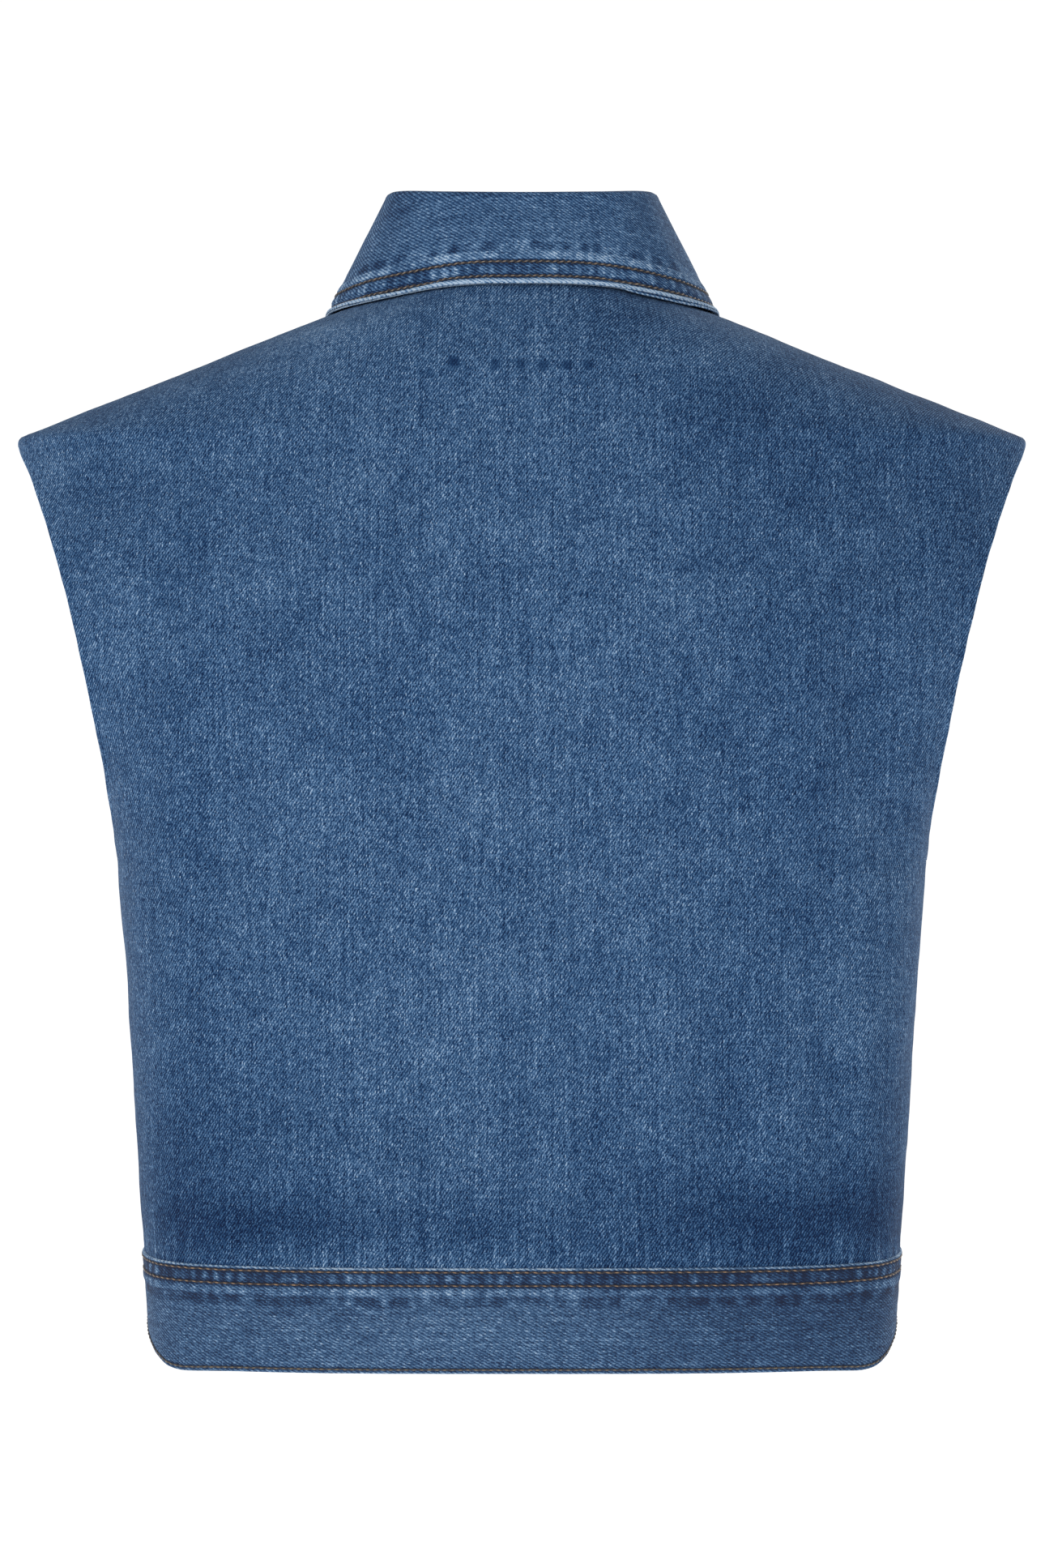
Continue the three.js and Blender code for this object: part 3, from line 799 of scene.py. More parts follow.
def denim(
    name, faded=0.5, contrast=1.0, broken=1.0, pick_pitch=PICK_PITCH, dust=0.0, inside=False
):
    """Indigo warp over white weft in a three-by-one twill that rises to the right."""
    material, graph, surface = new_material(name)
    grain = graph.node("ShaderNodeUVMap", {"uv_map": "grain"}).outputs["UV"]
    parts = graph.node("ShaderNodeSeparateXYZ", {}, {"Vector": grain}).outputs
    across = Number(graph, parts["X"])
    along = Number(graph, parts["Y"])
    sway = graph.noise(grain, 520.0, 2.0) - 0.5
    swell = graph.noise(graph.vector(along, across), 430.0, 2.0) - 0.5
    ends = across / END_PITCH + sway * (2.6 * broken)
    picks = along / pick_pitch + swell * (3.4 * broken)
    end = ends.floor()
    place = (picks - end) / TWILL_REPEAT
    float_part = place.fraction()
    shown = (float_part - WEFT_SHARE) / (1 - WEFT_SHARE)
    warp = float_part.between(WEFT_SHARE - WEFT_SOFT, WEFT_SHARE + WEFT_SOFT)
    bulge = 1 - (shown * 2 - 1) ** 2
    side_on = ends.fraction() * 2 - 1
    round_yarn = 1 - side_on * side_on * 0.6
    float_height = (bulge.clamped() * 0.8 + 0.2) * round_yarn * warp
    float_chance = graph.speck(end, place.floor()) - 0.5
    end_chance = graph.speck(end, 7.0) - 0.5
    crossing = graph.speck(end, picks.floor()) - 0.5
    slub = graph.noise(graph.vector(across * 1500.0, along * 32.0), 1.0, 2.0) - 0.5
    pick_slub = graph.noise(graph.vector(across * 45.0, along * 1100.0), 1.0, 1.0) - 0.5
    mottle = graph.noise(grain, 75.0, 3.0, 0.6) - 0.5
    cloud = graph.noise(grain, 22.0, 2.0, 0.5) - 0.5
    grit = graph.noise(grain, 520.0, 2.0, 0.65) - 0.5
    # This mark holds real wear and wash, and also painted shade in stitch grooves, cracks, under
    # puckers and on the collar's stand, and painted light beside the collar's ends
    wear = graph.attribute("wear")
    streaks = graph.attribute("streaks")
    streak_noise = graph.noise(graph.vector(across * 330.0, along * 26.0), 1.0, 2.0)
    streak = streak_noise.between(0.5, 0.66) * streaks
    fade = faded + (float_height - 0.5) * (FLOAT_SHADE * contrast)
    fade = fade + float_chance * (FLOAT_CHANCE * contrast) + end_chance * END_CHANCE
    fade = fade + crossing * (CROSSING_CHANCE * contrast * broken)
    fade = fade + slub * SLUB_SHADE + pick_slub * PICK_SLUB_SHADE
    fade = fade + mottle * MOTTLE_SHADE + cloud * CLOUD_SHADE + grit * (GRIT_SHADE * contrast)
    fade = fade + wear * WEAR_AND_PAINTED_SHADING_WEIGHT + streak * STREAK_SHADE
    if inside:
        fade = fade * 0.5 + 0.52
    else:
        fade = fade - fade * wash_dots(graph) * DOT_SHADE
    ramp = graph.node(
        "ShaderNodeValToRGB", {"stops": INDIGO_STOPS}, {"Fac": fade.clamped()}
    ).outputs["Color"]
    graph.feed(surface.inputs["Base Color"], graph.mixed(dust, ramp, DUST))
    graph.feed(surface.inputs["Roughness"], 0.94 - float_height * 0.08)
    yarn = float_height + slub * 0.3 + grit * 0.25
    bump = graph.node(
        "ShaderNodeBump", {}, {"Strength": 0.55, "Distance": 0.00022, "Height": yarn}
    )
    graph.feed(surface.inputs["Normal"], bump.outputs["Normal"])
    surface.inputs["Specular IOR Level"].default_value = 0.16
    surface.inputs["Sheen Weight"].default_value = 0.03
    surface.inputs["Sheen Roughness"].default_value = 0.5
    return material


def thread(name, top, painted_shade_colour):
    """Twisted sewing thread with a painted highlight on the top of each stitch and painted shade on
    its flanks and where it sinks in: the first colour is the lit thread, the second a dark copy of
    it for the painted shade.
    """
    material, graph, surface = new_material(name)
    position = graph.node("ShaderNodeTexCoord").outputs["Object"]
    # Painted light: this mark is 1 on the top of each stitch and falls towards its ends and flanks
    crown = graph.attribute("crown").between(0.55, 0.98)
    fluff = graph.noise(position, 2600.0, 2.0) - 0.5
    uneven_dye = graph.noise(position, 210.0, 1.0) - 0.5
    crown_light_and_dye = (crown + fluff * 0.5 + uneven_dye * 0.7).clamped()
    graph.feed(surface.inputs["Base Color"], graph.mixed(crown_light_and_dye, painted_shade_colour, top))
    graph.feed(surface.inputs["Roughness"], 0.62 + fluff * 0.2)
    bump = graph.node(
        "ShaderNodeBump", {}, {"Strength": 0.4, "Distance": 0.0002, "Height": fluff}
    )
    graph.feed(surface.inputs["Normal"], bump.outputs["Normal"])
    surface.inputs["Sheen Weight"].default_value = 0.15
    return material


def button_metal(name):
    """Aged copper, dark in its hollows and rubbed bright on its rims."""
    material, graph, surface = new_material(name)
    position = graph.node("ShaderNodeTexCoord").outputs["Object"]
    rubbed = graph.attribute("rubbed")
    patches = graph.noise(position, 420.0, 3.0, 0.6)
    scuffs = graph.noise(position, 1900.0, 2.0)
    bright = (rubbed * 0.75 + patches * 0.5 - 0.12).clamped()
    colour = graph.mixed(bright, linear(52, 38, 32), linear(186, 146, 112))
    graph.feed(surface.inputs["Base Color"], colour)
    graph.feed(surface.inputs["Roughness"], 0.5 - bright * 0.2 + scuffs * 0.12)
    bump = graph.node(
        "ShaderNodeBump", {}, {"Strength": 0.25, "Distance": 0.0002, "Height": scuffs}
    )
    graph.feed(surface.inputs["Normal"], bump.outputs["Normal"])
    surface.inputs["Metallic"].default_value = 1.0
    return material


# Sewing

# Numbers of the plain number's sockets on the node for random values
RANDOM_LEAST = 2
RANDOM_MOST = 3
RANDOM_NUMBER = 1


def stitch_tree():
    """Lays one thread arch on a path for each stitch. The path carries the cloth's facing."""
    tree = bpy.data.node_groups.new("stitching", "GeometryNodeTree")
    face = tree.interface
    face.new_socket("Path", in_out="INPUT", socket_type="NodeSocketGeometry")
    for name in ("Pitch", "Length", "Thickness", "Sink", "Slant", "Tilt"):
        face.new_socket(name, in_out="INPUT", socket_type="NodeSocketFloat")
    face.new_socket("Seed", in_out="INPUT", socket_type="NodeSocketInt")
    face.new_socket("Thread", in_out="INPUT", socket_type="NodeSocketMaterial")
    face.new_socket("Stitches", in_out="OUTPUT", socket_type="NodeSocketGeometry")
    graph = Graph(tree)
    given = graph.node("NodeGroupInput").outputs
    length = Number(graph, given["Length"])
    thickness = Number(graph, given["Thickness"])
    sink = Number(graph, given["Sink"])
    slant = Number(graph, given["Slant"])
    tilt = Number(graph, given["Tilt"])
    curve = graph.node("GeometryNodeMeshToCurve", {}, {"Mesh": given["Path"]})
    points = graph.node(
        "GeometryNodeResampleCurve",
        {"mode": "LENGTH"},
        {"Curve": curve.outputs["Curve"], "Length": given["Pitch"]},
    )
    arch = graph.node(
        "GeometryNodeCurveQuadraticBezier",
        {},
        {
            "Resolution": 5,
            "Start": graph.vector(length * -0.5, 0.0, 0 - sink),
            "Middle": graph.vector(0.0, 0.0, thickness * 0.9 + sink),
            "End": graph.vector(length * 0.5, 0.0, 0 - sink),
        },
    )
    circle = graph.node(
        "GeometryNodeCurvePrimitiveCircle", {}, {"Resolution": 8, "Radius": thickness * 0.5}
    )
    tube = graph.node(
        "GeometryNodeCurveToMesh",
        {},
        {
            "Curve": arch.outputs["Curve"],
            "Profile Curve": circle.outputs["Curve"],
            "Fill Caps": True,
        },
    )
    spot = graph.node("GeometryNodeInputPosition").outputs["Position"]
    parts = graph.node("ShaderNodeSeparateXYZ", {}, {0: spot}).outputs
    share = Number(graph, parts["X"]) / length * 2
    flank = Number(graph, parts["Y"]) / thickness * 2
    # Painted light: 1 on the top of each stitch, falling off towards its ends and flanks, for the
    # thread's painted highlight and painted shade
    top = 1 - share * share - flank * flank * 0.7
    crown = graph.node(
        "GeometryNodeStoreNamedAttribute",
        {"data_type": "FLOAT", "domain": "POINT"},
        {"Geometry": tube.outputs["Mesh"], "Name": "crown", "Value": top},
    )
    facing = graph.node(
        "GeometryNodeInputNamedAttribute", {"data_type": "FLOAT_VECTOR"}, {"Name": "facing"}
    )
    tangent = graph.node("GeometryNodeInputTangent").outputs["Tangent"]
    turned = graph.node(
        "FunctionNodeAxesToRotation",
        {"primary_axis": "X", "secondary_axis": "Z"},
        {"Primary Axis": tangent, "Secondary Axis": facing.outputs["Attribute"]},
    )
    chance = graph.node(
        "FunctionNodeRandomValue",
        {"data_type": "FLOAT"},
        {RANDOM_LEAST: -1.0, RANDOM_MOST: 1.0, "Seed": given["Seed"]},
    )
    lean = Number(graph, chance.outputs[RANDOM_NUMBER]) * tilt + slant
    small_turn = graph.node("FunctionNodeEulerToRotation", {}, {0: graph.vector(0.0, 0.0, lean)})
    rotation = graph.node(
        "FunctionNodeRotateRotation",
        {"rotation_space": "LOCAL"},
        {"Rotation": turned.outputs[0], "Rotate By": small_turn.outputs[0]},
    )
    placed = graph.node(
        "GeometryNodeInstanceOnPoints",
        {},
        {
            "Points": points.outputs["Curve"],
            "Instance": crown.outputs["Geometry"],
            "Rotation": rotation.outputs[0],
        },
    )
    real = graph.node(
        "GeometryNodeRealizeInstances", {}, {"Geometry": placed.outputs["Instances"]}
    )
    smooth = graph.node("GeometryNodeSetShadeSmooth", {}, {"Geometry": real.outputs["Geometry"]})
    coloured = graph.node(
        "GeometryNodeSetMaterial",
        {},
        {"Geometry": smooth.outputs["Geometry"], "Material": given["Thread"]},
    )
    result = graph.node("NodeGroupOutput")
    graph.feed(result.inputs["Stitches"], coloured.outputs["Geometry"])
    return tree


def line_at(points, normals, distance, target):
    """The line at a distance from an edge: one point on each column of a grid."""
    flat = np.apply_along_axis(lambda d: np.searchsorted(d, target), 0, distance)
    row = np.clip(flat, 1, len(distance) - 1)
    columns = np.arange(distance.shape[1])
    low = distance[row - 1, columns]
    high = distance[row, columns]
    t = np.clip((target - low) / np.maximum(high - low, 1e-6), 0, 1)[:, None]
    spots = points[row - 1, columns] * (1 - t) + points[row, columns] * t
    facing = normals[row - 1, columns] * (1 - t) + normals[row, columns] * t
    return spots, unit(facing)


STITCH = {"Pitch": 4.2, "Length": 4.3, "Thickness": 0.9, "Sink": 0.3}


def sew(name, tree, lines, material, seed, slant=0.0, tilt=0.1, **sizes):
    """Rows of stitches along lines, each a pair of points and the cloth's facing there."""
    spots = np.concatenate([line[0] for line in lines]) * MM
    facing = np.concatenate([line[1] for line in lines])
    edges = []
    start = 0
    for line in lines:
        last = start + len(line[0])
        edges += [(i, i + 1) for i in range(start, last - 1)]
        start = last
    mesh = bpy.data.meshes.new(name)
    mesh.from_pydata(spots.tolist(), edges, [])
    attribute = mesh.attributes.new("facing", "FLOAT_VECTOR", "POINT")
    attribute.data.foreach_set("vector", facing.astype(np.float32).ravel())
    made = add_object(name, mesh)
    modifier = made.modifiers.new("stitching", "NODES")
    modifier.node_group = tree
    values = {size: value * MM for size, value in (STITCH | sizes).items()}
    values |= {"Slant": slant, "Tilt": tilt, "Seed": seed, "Thread": material}
    for item in tree.interface.items_tree:
        if item.name in values:
            modifier[item.identifier] = values[item.name]
    graph = bpy.context.evaluated_depsgraph_get()
    plain = bpy.data.meshes.new_from_object(made.evaluated_get(graph))
    plain.name = name
    made.modifiers.clear()
    made.data = plain
    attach(made, "root")
    return made


# Camera, light and floor

CAMERA_AT = (-0.0002, 2.2, -0.2401)
CAMERA_LENS = 103.14
SENSOR = 36.0


def make_camera():
    data = bpy.data.cameras.new("view")
    data.lens = CAMERA_LENS
    data.sensor_width = SENSOR
    data.dof.use_dof = False
    camera = add_object("view", data)
    camera.location = CAMERA_AT
    camera.rotation_euler = (math.pi / 2, 0, math.pi)
    bpy.context.scene.camera = camera


LIGHT_COLUMNS = ("name", "place", "size", "power")
LIGHTS = (
    ("key", (1.5, 1.9, 0.75), 1.1, 22.0),
    ("fill", (-1.7, 1.7, 0.1), 1.3, 7.0),
    ("front_key", (-1.5, -1.9, 0.75), 1.1, 22.0),
    ("front_fill", (1.7, -1.7, 0.1), 1.3, 7.0),
)
BACKDROP = 1.05
AMBIENT = 0.55
AIM = Vector((0, 0, -0.25))
FLOOR_LEVEL = -0.95
FLOOR_HALF = 14.0


def make_lights():
    for name, place, size, power in LIGHTS:
        data = bpy.data.lights.new(name, "AREA")
        data.shape = "DISK"
        data.size = size
        data.energy = power
        light = add_object(name, data)
        light.location = place
        light.rotation_euler = (AIM - Vector(place)).to_track_quat("-Z", "Y").to_euler()
    world = bpy.data.worlds.new("studio")
    bpy.context.scene.world = world
    world.use_nodes = True
    graph = Graph(world.node_tree)
    backdrop = world.node_tree.nodes["Background"]
    seen = graph.out("ShaderNodeLightPath", {}, {}, "Is Camera Ray")
    graph.feed(backdrop.inputs["Strength"], seen * (BACKDROP - AMBIENT) + AMBIENT)
    backdrop.inputs["Color"].default_value = (1, 1, 1, 1)


def make_floor():
    corners = [(-1, -1), (1, -1), (1, 1), (-1, 1)]
    mesh = bpy.data.meshes.new("floor")
    points = [(x * FLOOR_HALF, y * FLOOR_HALF, FLOOR_LEVEL) for x, y in corners]
    mesh.from_pydata(points, [], [(0, 1, 2, 3)])
    material, graph, surface = new_material("floor")
    position = graph.node("ShaderNodeTexCoord").outputs["Object"]
    tone = graph.noise(position, 3.0) - 0.5
    graph.feed(surface.inputs["Roughness"], 0.9 + tone * 0.05)
    surface.inputs["Base Color"].default_value = (0.86, 0.86, 0.86, 1)
    surface.inputs["Emission Color"].default_value = (1, 1, 1, 1)
    surface.inputs["Emission Strength"].default_value = 0.6
    mesh.materials.append(material)
    floor = add_object("floor", mesh)


# The pieces

def declare(piece, node, points):
    """Attaches a sheet of cloth to the root and hides the solid that it stands for; the sizes of
    its grid's cells are worked out but not used.
    """
    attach(piece, "root")
    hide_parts(node)
    sides = np.cross(points[1:, 1:] - points[:-1, :-1], points[1:, :-1] - points[:-1, 1:])


def declare_cloth(piece, node, grid):
    """Attaches a panel or a band and hides its solid. Its turned edges add 2 mm each way to the
    width and length worked out here, which are not used.
    """
    width = np.ptp(grid.girth) + 2
    length = np.ptp(grid.height) + 2
    declare(piece, node, grid.surface)


# Soft shaded places of the wash, two of them paler partly as painted light: middle, half width,
# half height and tone, paler above 0
WASH_COLUMNS = ("side", "x", "z", "wide", "high", "tone")
WASH_AND_PAINTED_LIGHT = (
    (1, 128, -450, 60, 15, -0.55),
    (1, -128, -446, 55, 20, -0.55),
    (1, -30, -452, 50, 14, -0.2),
    (1, 28, -450, 34, 16, -0.24),
    (1, -68, -448, 16, 18, -0.16),
    (1, -172, -446, 15, 24, -0.25),
    (1, 162, -446, 14, 22, -0.16),
    (1, 55, -502, 75, 20, 0.16),
    (1, -130, -486, 62, 30, -0.42),
    (1, -46, -18, 22, 22, -0.22),
    # These two are paler partly for the cloth's fade and partly as painted light over the collar's
    # shadow beside its ends
    (1, 98, -24, 26, 14, 0.26),
    (1, -98, -30, 24, 14, 0.1),
    (1, -96, -66, 30, 26, -0.22),
    (1, -152, -84, 42, 30, -0.16),
    (1, 175, -118, 36, 40, -0.04),
    (1, 168, -330, 24, 120, -0.18),
    (1, 90, -200, 70, 30, -0.06),
    (1, 36, -362, 36, 46, 0.13),
    (1, -92, -372, 22, 52, -0.16),
    (1, -172, -398, 20, 34, -0.22),
    (1, -165, -220, 30, 80, -0.12),
    (1, -150, -330, 40, 60, -0.06),
    (1, 120, -392, 60, 26, -0.1),
    (1, -125, -200, 34, 130, -0.13),
    (1, -207, -108, 30, 60, -0.2),
    (1, -62, -412, 30, 26, -0.16),
    (1, 140, -415, 50, 26, -0.16),
    (1, 6, -390, 20, 36, -0.12),
    (1, -55, -475, 20, 10, -0.42),
    (1, 140, -475, 58, 9, -0.34),
    (1, 115, -492, 45, 12, -0.1),
    (1, -100, -476, 60, 8, -0.2),
    (1, 0, -320, 190, 300, 0.02),
    (1, -158, -300, 16, 60, 0.14),
    (1, 172, -330, 14, 60, 0.12),
    (1, 0, -476, 40, 8, -0.12),
    (-1, 120, -450, 60, 16, -0.35),
    (-1, -120, -450, 60, 16, -0.35),
    (-1, 100, -220, 55, 80, 0.1),
    (-1, -100, -220, 55, 80, 0.1),
    (-1, 0, -300, 50, 120, 0.04),
    (-1, 130, -120, 60, 50, -0.1),
    (-1, -120, -350, 50, 60, -0.1),
    (-1, 150, -380, 40, 50, -0.12),
    (-1, 60, -500, 80, 20, 0.12),
    (-1, -110, -496, 60, 26, -0.2),
)


# The tone of the wash places at each point, with the painted light beside the collar's ends
def wash_and_painted_light(grid):
    tone = np.zeros_like(grid.z)
    for side, x, z, wide, high, amount in WASH_AND_PAINTED_LIGHT:
        if side == grid.side:
            spot = ((grid.x - x) / wide) ** 2 + ((grid.z - z) / high) ** 2
            tone += amount * np.exp(-spot)
    return tone


def armhole_share(grid):
    """1 in the armhole's rows and 0 below the armhole, where the side is sewn."""
    return smoothstep(ARM_BOTTOM - 1, ARM_BOTTOM + 6, grid.z) * (grid.z < ARM_TOP + 2)


def panel_features(grid, seed, arm_distance):
    """Lift, worn and washed tone with some painted shade and painted light, and streaks that every
    body panel has.
    """
    creases = run_offset(CREASES, grid.x, grid.z, grid.side)
    waves = uneven(grid.girth, grid.height, seed, 26, 70) * 0.22
    fine = uneven(grid.girth, grid.height, seed + 1, 9, 18) * 0.06
    ridge = puckers(grid.girth, grid.height, seed + 2, (5, 9.5), (1.7, 2.8), (7, 24))
    arm = armhole_share(grid)
    turned = arm * smoothstep(10.5, 8.5, arm_distance)
    turned = turned * smoothstep(ARM_BOTTOM, ARM_BOTTOM + 40, grid.z)
    arm_ripple = uneven(grid.height, arm_distance, seed + 3, 8, 22) * 0.12 * turned
    waist_dip = -0.45 * np.exp(-grid.height / 1.6)
    lift = creases + waves + fine + ridge * 0.55 + turned * 0.35 + arm_ripple + waist_dip
    seam = (1 - arm) * smoothstep(9.5, 8.2, arm_distance)
    seam_roll = puckers(grid.height, arm_distance, seed + 4, (5, 10), (1.6, 2.8), (9, 16))
    near_side = smoothstep(34, 8, arm_distance)
    lift += near_side * 0.55 * bell(ARM_BOTTOM - 26, 22, grid.z)
    lift -= near_side * 0.85 * bell(ARM_BOTTOM + 27, 20, grid.z)
    under_arm = np.where(grid.z < ARM_BOTTOM, ARM_BOTTOM - grid.z, 60)
    settled = (1 - arm) * smoothstep(0, 60, under_arm)
    lift += seam * (0.3 + 0.3 * (seam_roll - 0.3)) - 0.4 * np.exp(-arm_distance / 0.8) * settled
    worn_edge = arm * (np.exp(-((arm_distance / 1.3) ** 2)) * 0.75)
    wear = wash_and_painted_light(grid) + creases * 0.12 + waves * 0.1 + ridge * 0.32 + worn_edge
    # Painted shade: a dark line along the foot of the turned armhole edge
    wear -= 0.1 * arm * bell(9.5, 1.2, arm_distance)
    wear += seam * (0.4 * (seam_roll - 0.3) + 0.1)
    # Painted shade: a dark line beside the side seam's raised allowance, and one just above the
    # band's proud top edge
    wear -= (1 - arm) * 0.35 * bell(9.6, 1.0, arm_distance)
    wear -= 0.3 * np.exp(-grid.height / 1.2)
    streaks = smoothstep(30, 2, grid.height)
    return lift, turned * -0.9, wear, streaks


def panel_rows(count_yoke, count_body):
    yoke = np.linspace(0, YOKE_STEPS, count_yoke)
    end = YOKE_STEPS + BODY_STEPS
    body = YOKE_STEPS + BODY_STEPS * (1 - (1 - np.linspace(0, 1, count_body)) ** 1.35)
    close = [0.006, 0.014, 0.03, end - 0.03, end - 0.012, end - 0.005]
    return np.unique(np.concatenate([yoke, body, close]))


def make_back(outside, inside):
    share = shares(124)
    x, z = panel_places(BACK, 0.0, 0.0, share, panel_rows(104, 84))
    grid = Cloth(*both_halves(x, z), BACK)
    arm_distance = np.minimum(grid.from_start, grid.from_end)
    lift, under_lift, wear, streaks = panel_features(grid, 11, arm_distance)
    pale = window(-28.7, 25.7, 1.5, grid.x) * window(-37.6, -9, 1.5, grid.z)
    pale_inside = window(-26.5, 23.5, 1.5, grid.x) * window(-35.4, -11, 1.5, grid.z)
    wear += 0.12 * pale - 0.1 * pale_inside
    marks = {"wear": wear, "streaks": streaks}
    piece = grid.build("cloth_back", lift, under_lift, marks, (outside, inside))
    declare_cloth(piece, "back", grid)


def make_front(side_name, outside, inside, mirrored, under):
    lap_turn = math.degrees(math.asin(LAP / NECK_HALF))
    share = shares(128, close_start=True)
    x, z = panel_places(FRONT, -lap_turn, -LAP, share, panel_rows(98, 80))
    grid = Cloth(x, z, FRONT, mirrored=mirrored, under=under)
    seed = 31 if mirrored else 47
    lift, under_lift, wear, streaks = panel_features(grid, seed, grid.from_end)
    edge = grid.from_start
    edge_turn = smoothstep(34, 32, edge)
    # Each row of stitches sits in a groove: the lift sinks it and the tone is painted darker there
    # as shade
    for row in FRONT_ROWS_AT:
        lift -= 0.32 * bell(row, 0.8, edge)
        wear -= 0.22 * bell(row, 1.1, edge)
    strip = puckers(grid.height, np.zeros_like(edge), seed + 5, (6, 10), (1.6, 2.6), (6, 7), 0.2)
    between = window(3.6, 7.6, 0.8, edge)
    lift += strip * 0.25 * between + 0.12 * edge_turn
    wear += strip * 0.3 * between + 0.5 * np.exp(-((edge / 1.2) ** 2))
    marks = {"wear": wear, "streaks": streaks}
    piece = grid.build(f"cloth_front_{side_name}", lift, under_lift, marks, (outside, inside))
    declare_cloth(piece, f"front_{side_name}", grid)
    return grid


def with_painted_groove_shade(wear, row, distance, depth):
    """The worn tone with a line of painted shade in the groove that a row of stitches leaves at a
    distance from an edge; depth is how dark that painted shade is.
    """
    groove_shade = np.exp(-(((distance - row) / 1.0) ** 4)) * (depth > 0)
    return wear * (1 - groove_shade) - depth * groove_shade


BAND_COLUMNS = ("name", "side", "halves", "mirrored", "under", "seed")
BANDS = (
    ("back", BACK, True, False, False, 51),
    ("left", FRONT, False, False, True, 55),
    ("right", FRONT, False, True, False, 59),
)


def make_band(name, side, halves, mirrored, under, seed, outside, inside):
    close = [0.004, 0.01, 0.02, 0.98, 0.99, 0.996]
    step = np.unique(np.concatenate([np.linspace(0, 1, 44), close]))
    if halves:
        x, z = band_places(side, 0.0, shares(190), step)
        x, z = both_halves(x, z)
    else:
        x, z = band_places(side, -LAP, shares(205, close_start=True), step)
    grid = Cloth(x, z, side, mirrored, under, BAND_CLOTH, BAND_PROUD)
    top = grid.from_top
    low = grid.from_bottom
    roll = puckers(grid.girth, np.abs(top - 5), seed, (4.6, 8.2), (1.5, 2.4), (10, 18), 0.25)
    below = puckers(grid.girth - 1.4, np.abs(top - 11), seed, (4.6, 8.2), (1.7, 3.0), (6, 11), -0.2)
    hem_roll = puckers(grid.girth, np.abs(low - 1.5), seed + 2, (5, 9), (1.6, 2.6), (5, 8), 0.3)
    between = window(3.0, 7.2, 0.9, top)
    bumpy = window(10.1, 13.2, 1.1, top)
    patches = window(14.6, 16.8, 2.4, top)
    unevenness = uneven(grid.girth, grid.height, seed + 3, 9, 30)
    lift = 0.3 * bell(0.9, 0.9, top) + 0.5 * (roll - 0.4) * between
    lift += (0.28 + 0.35 * (below - 0.4)) * bumpy - 0.25 * patches * (0.7 + 0.5 * unevenness)
    for row in BAND_ROWS_AT:
        lift -= 0.5 * bell(row, 0.85, top)
    lift -= 0.4 * bell(HEM_ROW_AT, 0.9, low)
    lift += unevenness * 0.12 + 0.2 * (hem_roll - 0.4) * window(0, 6, 2, low)
    gaps = puckers(grid.girth - 2, np.abs(top - 15), seed + 6, (6, 15), (1.8, 3.6), (9, 16), -0.2)
    wear = (1.25 + 0.2 * unevenness) * window(0, 1.5, 0.5, top) + 1.8 * (roll - 0.42) * between
    wear += (0.32 + 1.1 * (below - 0.35)) * bumpy
    # Painted shade: the dark patches below the rows stand for the shade under the puckers, with
    # pale gaps between them
    wear -= patches * np.clip(0.5 + 0.3 * unevenness - 1.1 * gaps, -0.3, 0.6)
    # Lines of painted shade in the grooves of the rows of stitches
    for row in BAND_ROWS_AT:
        wear = with_painted_groove_shade(wear, row, top, 1.1)
    wear = with_painted_groove_shade(wear, HEM_ROW_AT, low, 0.7)
    wear += 0.22 * bell(0.3, 0.8, low) + 0.1 * hem_roll * window(0, 8, 3, low) + wash_and_painted_light(grid)
    if not halves:
        wear = with_painted_groove_shade(wear, LAP_ROW_AT, grid.from_start, 0.7 * window(9, 60, 1, top))
        wear += 0.6 * bell(0.4, 1.0, grid.from_start)
    marks = {"wear": wear, "streaks": np.zeros_like(wear)}
    materials = (outside, inside)
    under_lift = np.zeros_like(lift)
    piece = grid.build(f"cloth_band_{name}", lift, under_lift, marks, materials, warp_across=True)
    declare_cloth(piece, f"band_{name}", grid)
    return grid


# Collar

NEAR_BODY = 0.35
UNDER_PLY = 3
FALL_DEPTH = 40


def clear_of_body(points, room, pull):
    """Moves points straight out until they are clear of the body, and pulls others closer."""
    moved = points.copy()
    for _ in range(4):
        slope = body_slope(moved)
        steep = np.linalg.norm(slope, axis=-1)
        field = body_field(moved)
        short = room - field / steep
        short = np.where(short < 0, short * pull, short)
        push = slope / steep[..., None] * short[..., None]
        moved += np.where((field < NEAR_BODY)[..., None], push, 0)
    return moved


def collar_value(turn, name):
    return table_value(COLLAR, COLLAR_COLUMNS, turn, name)


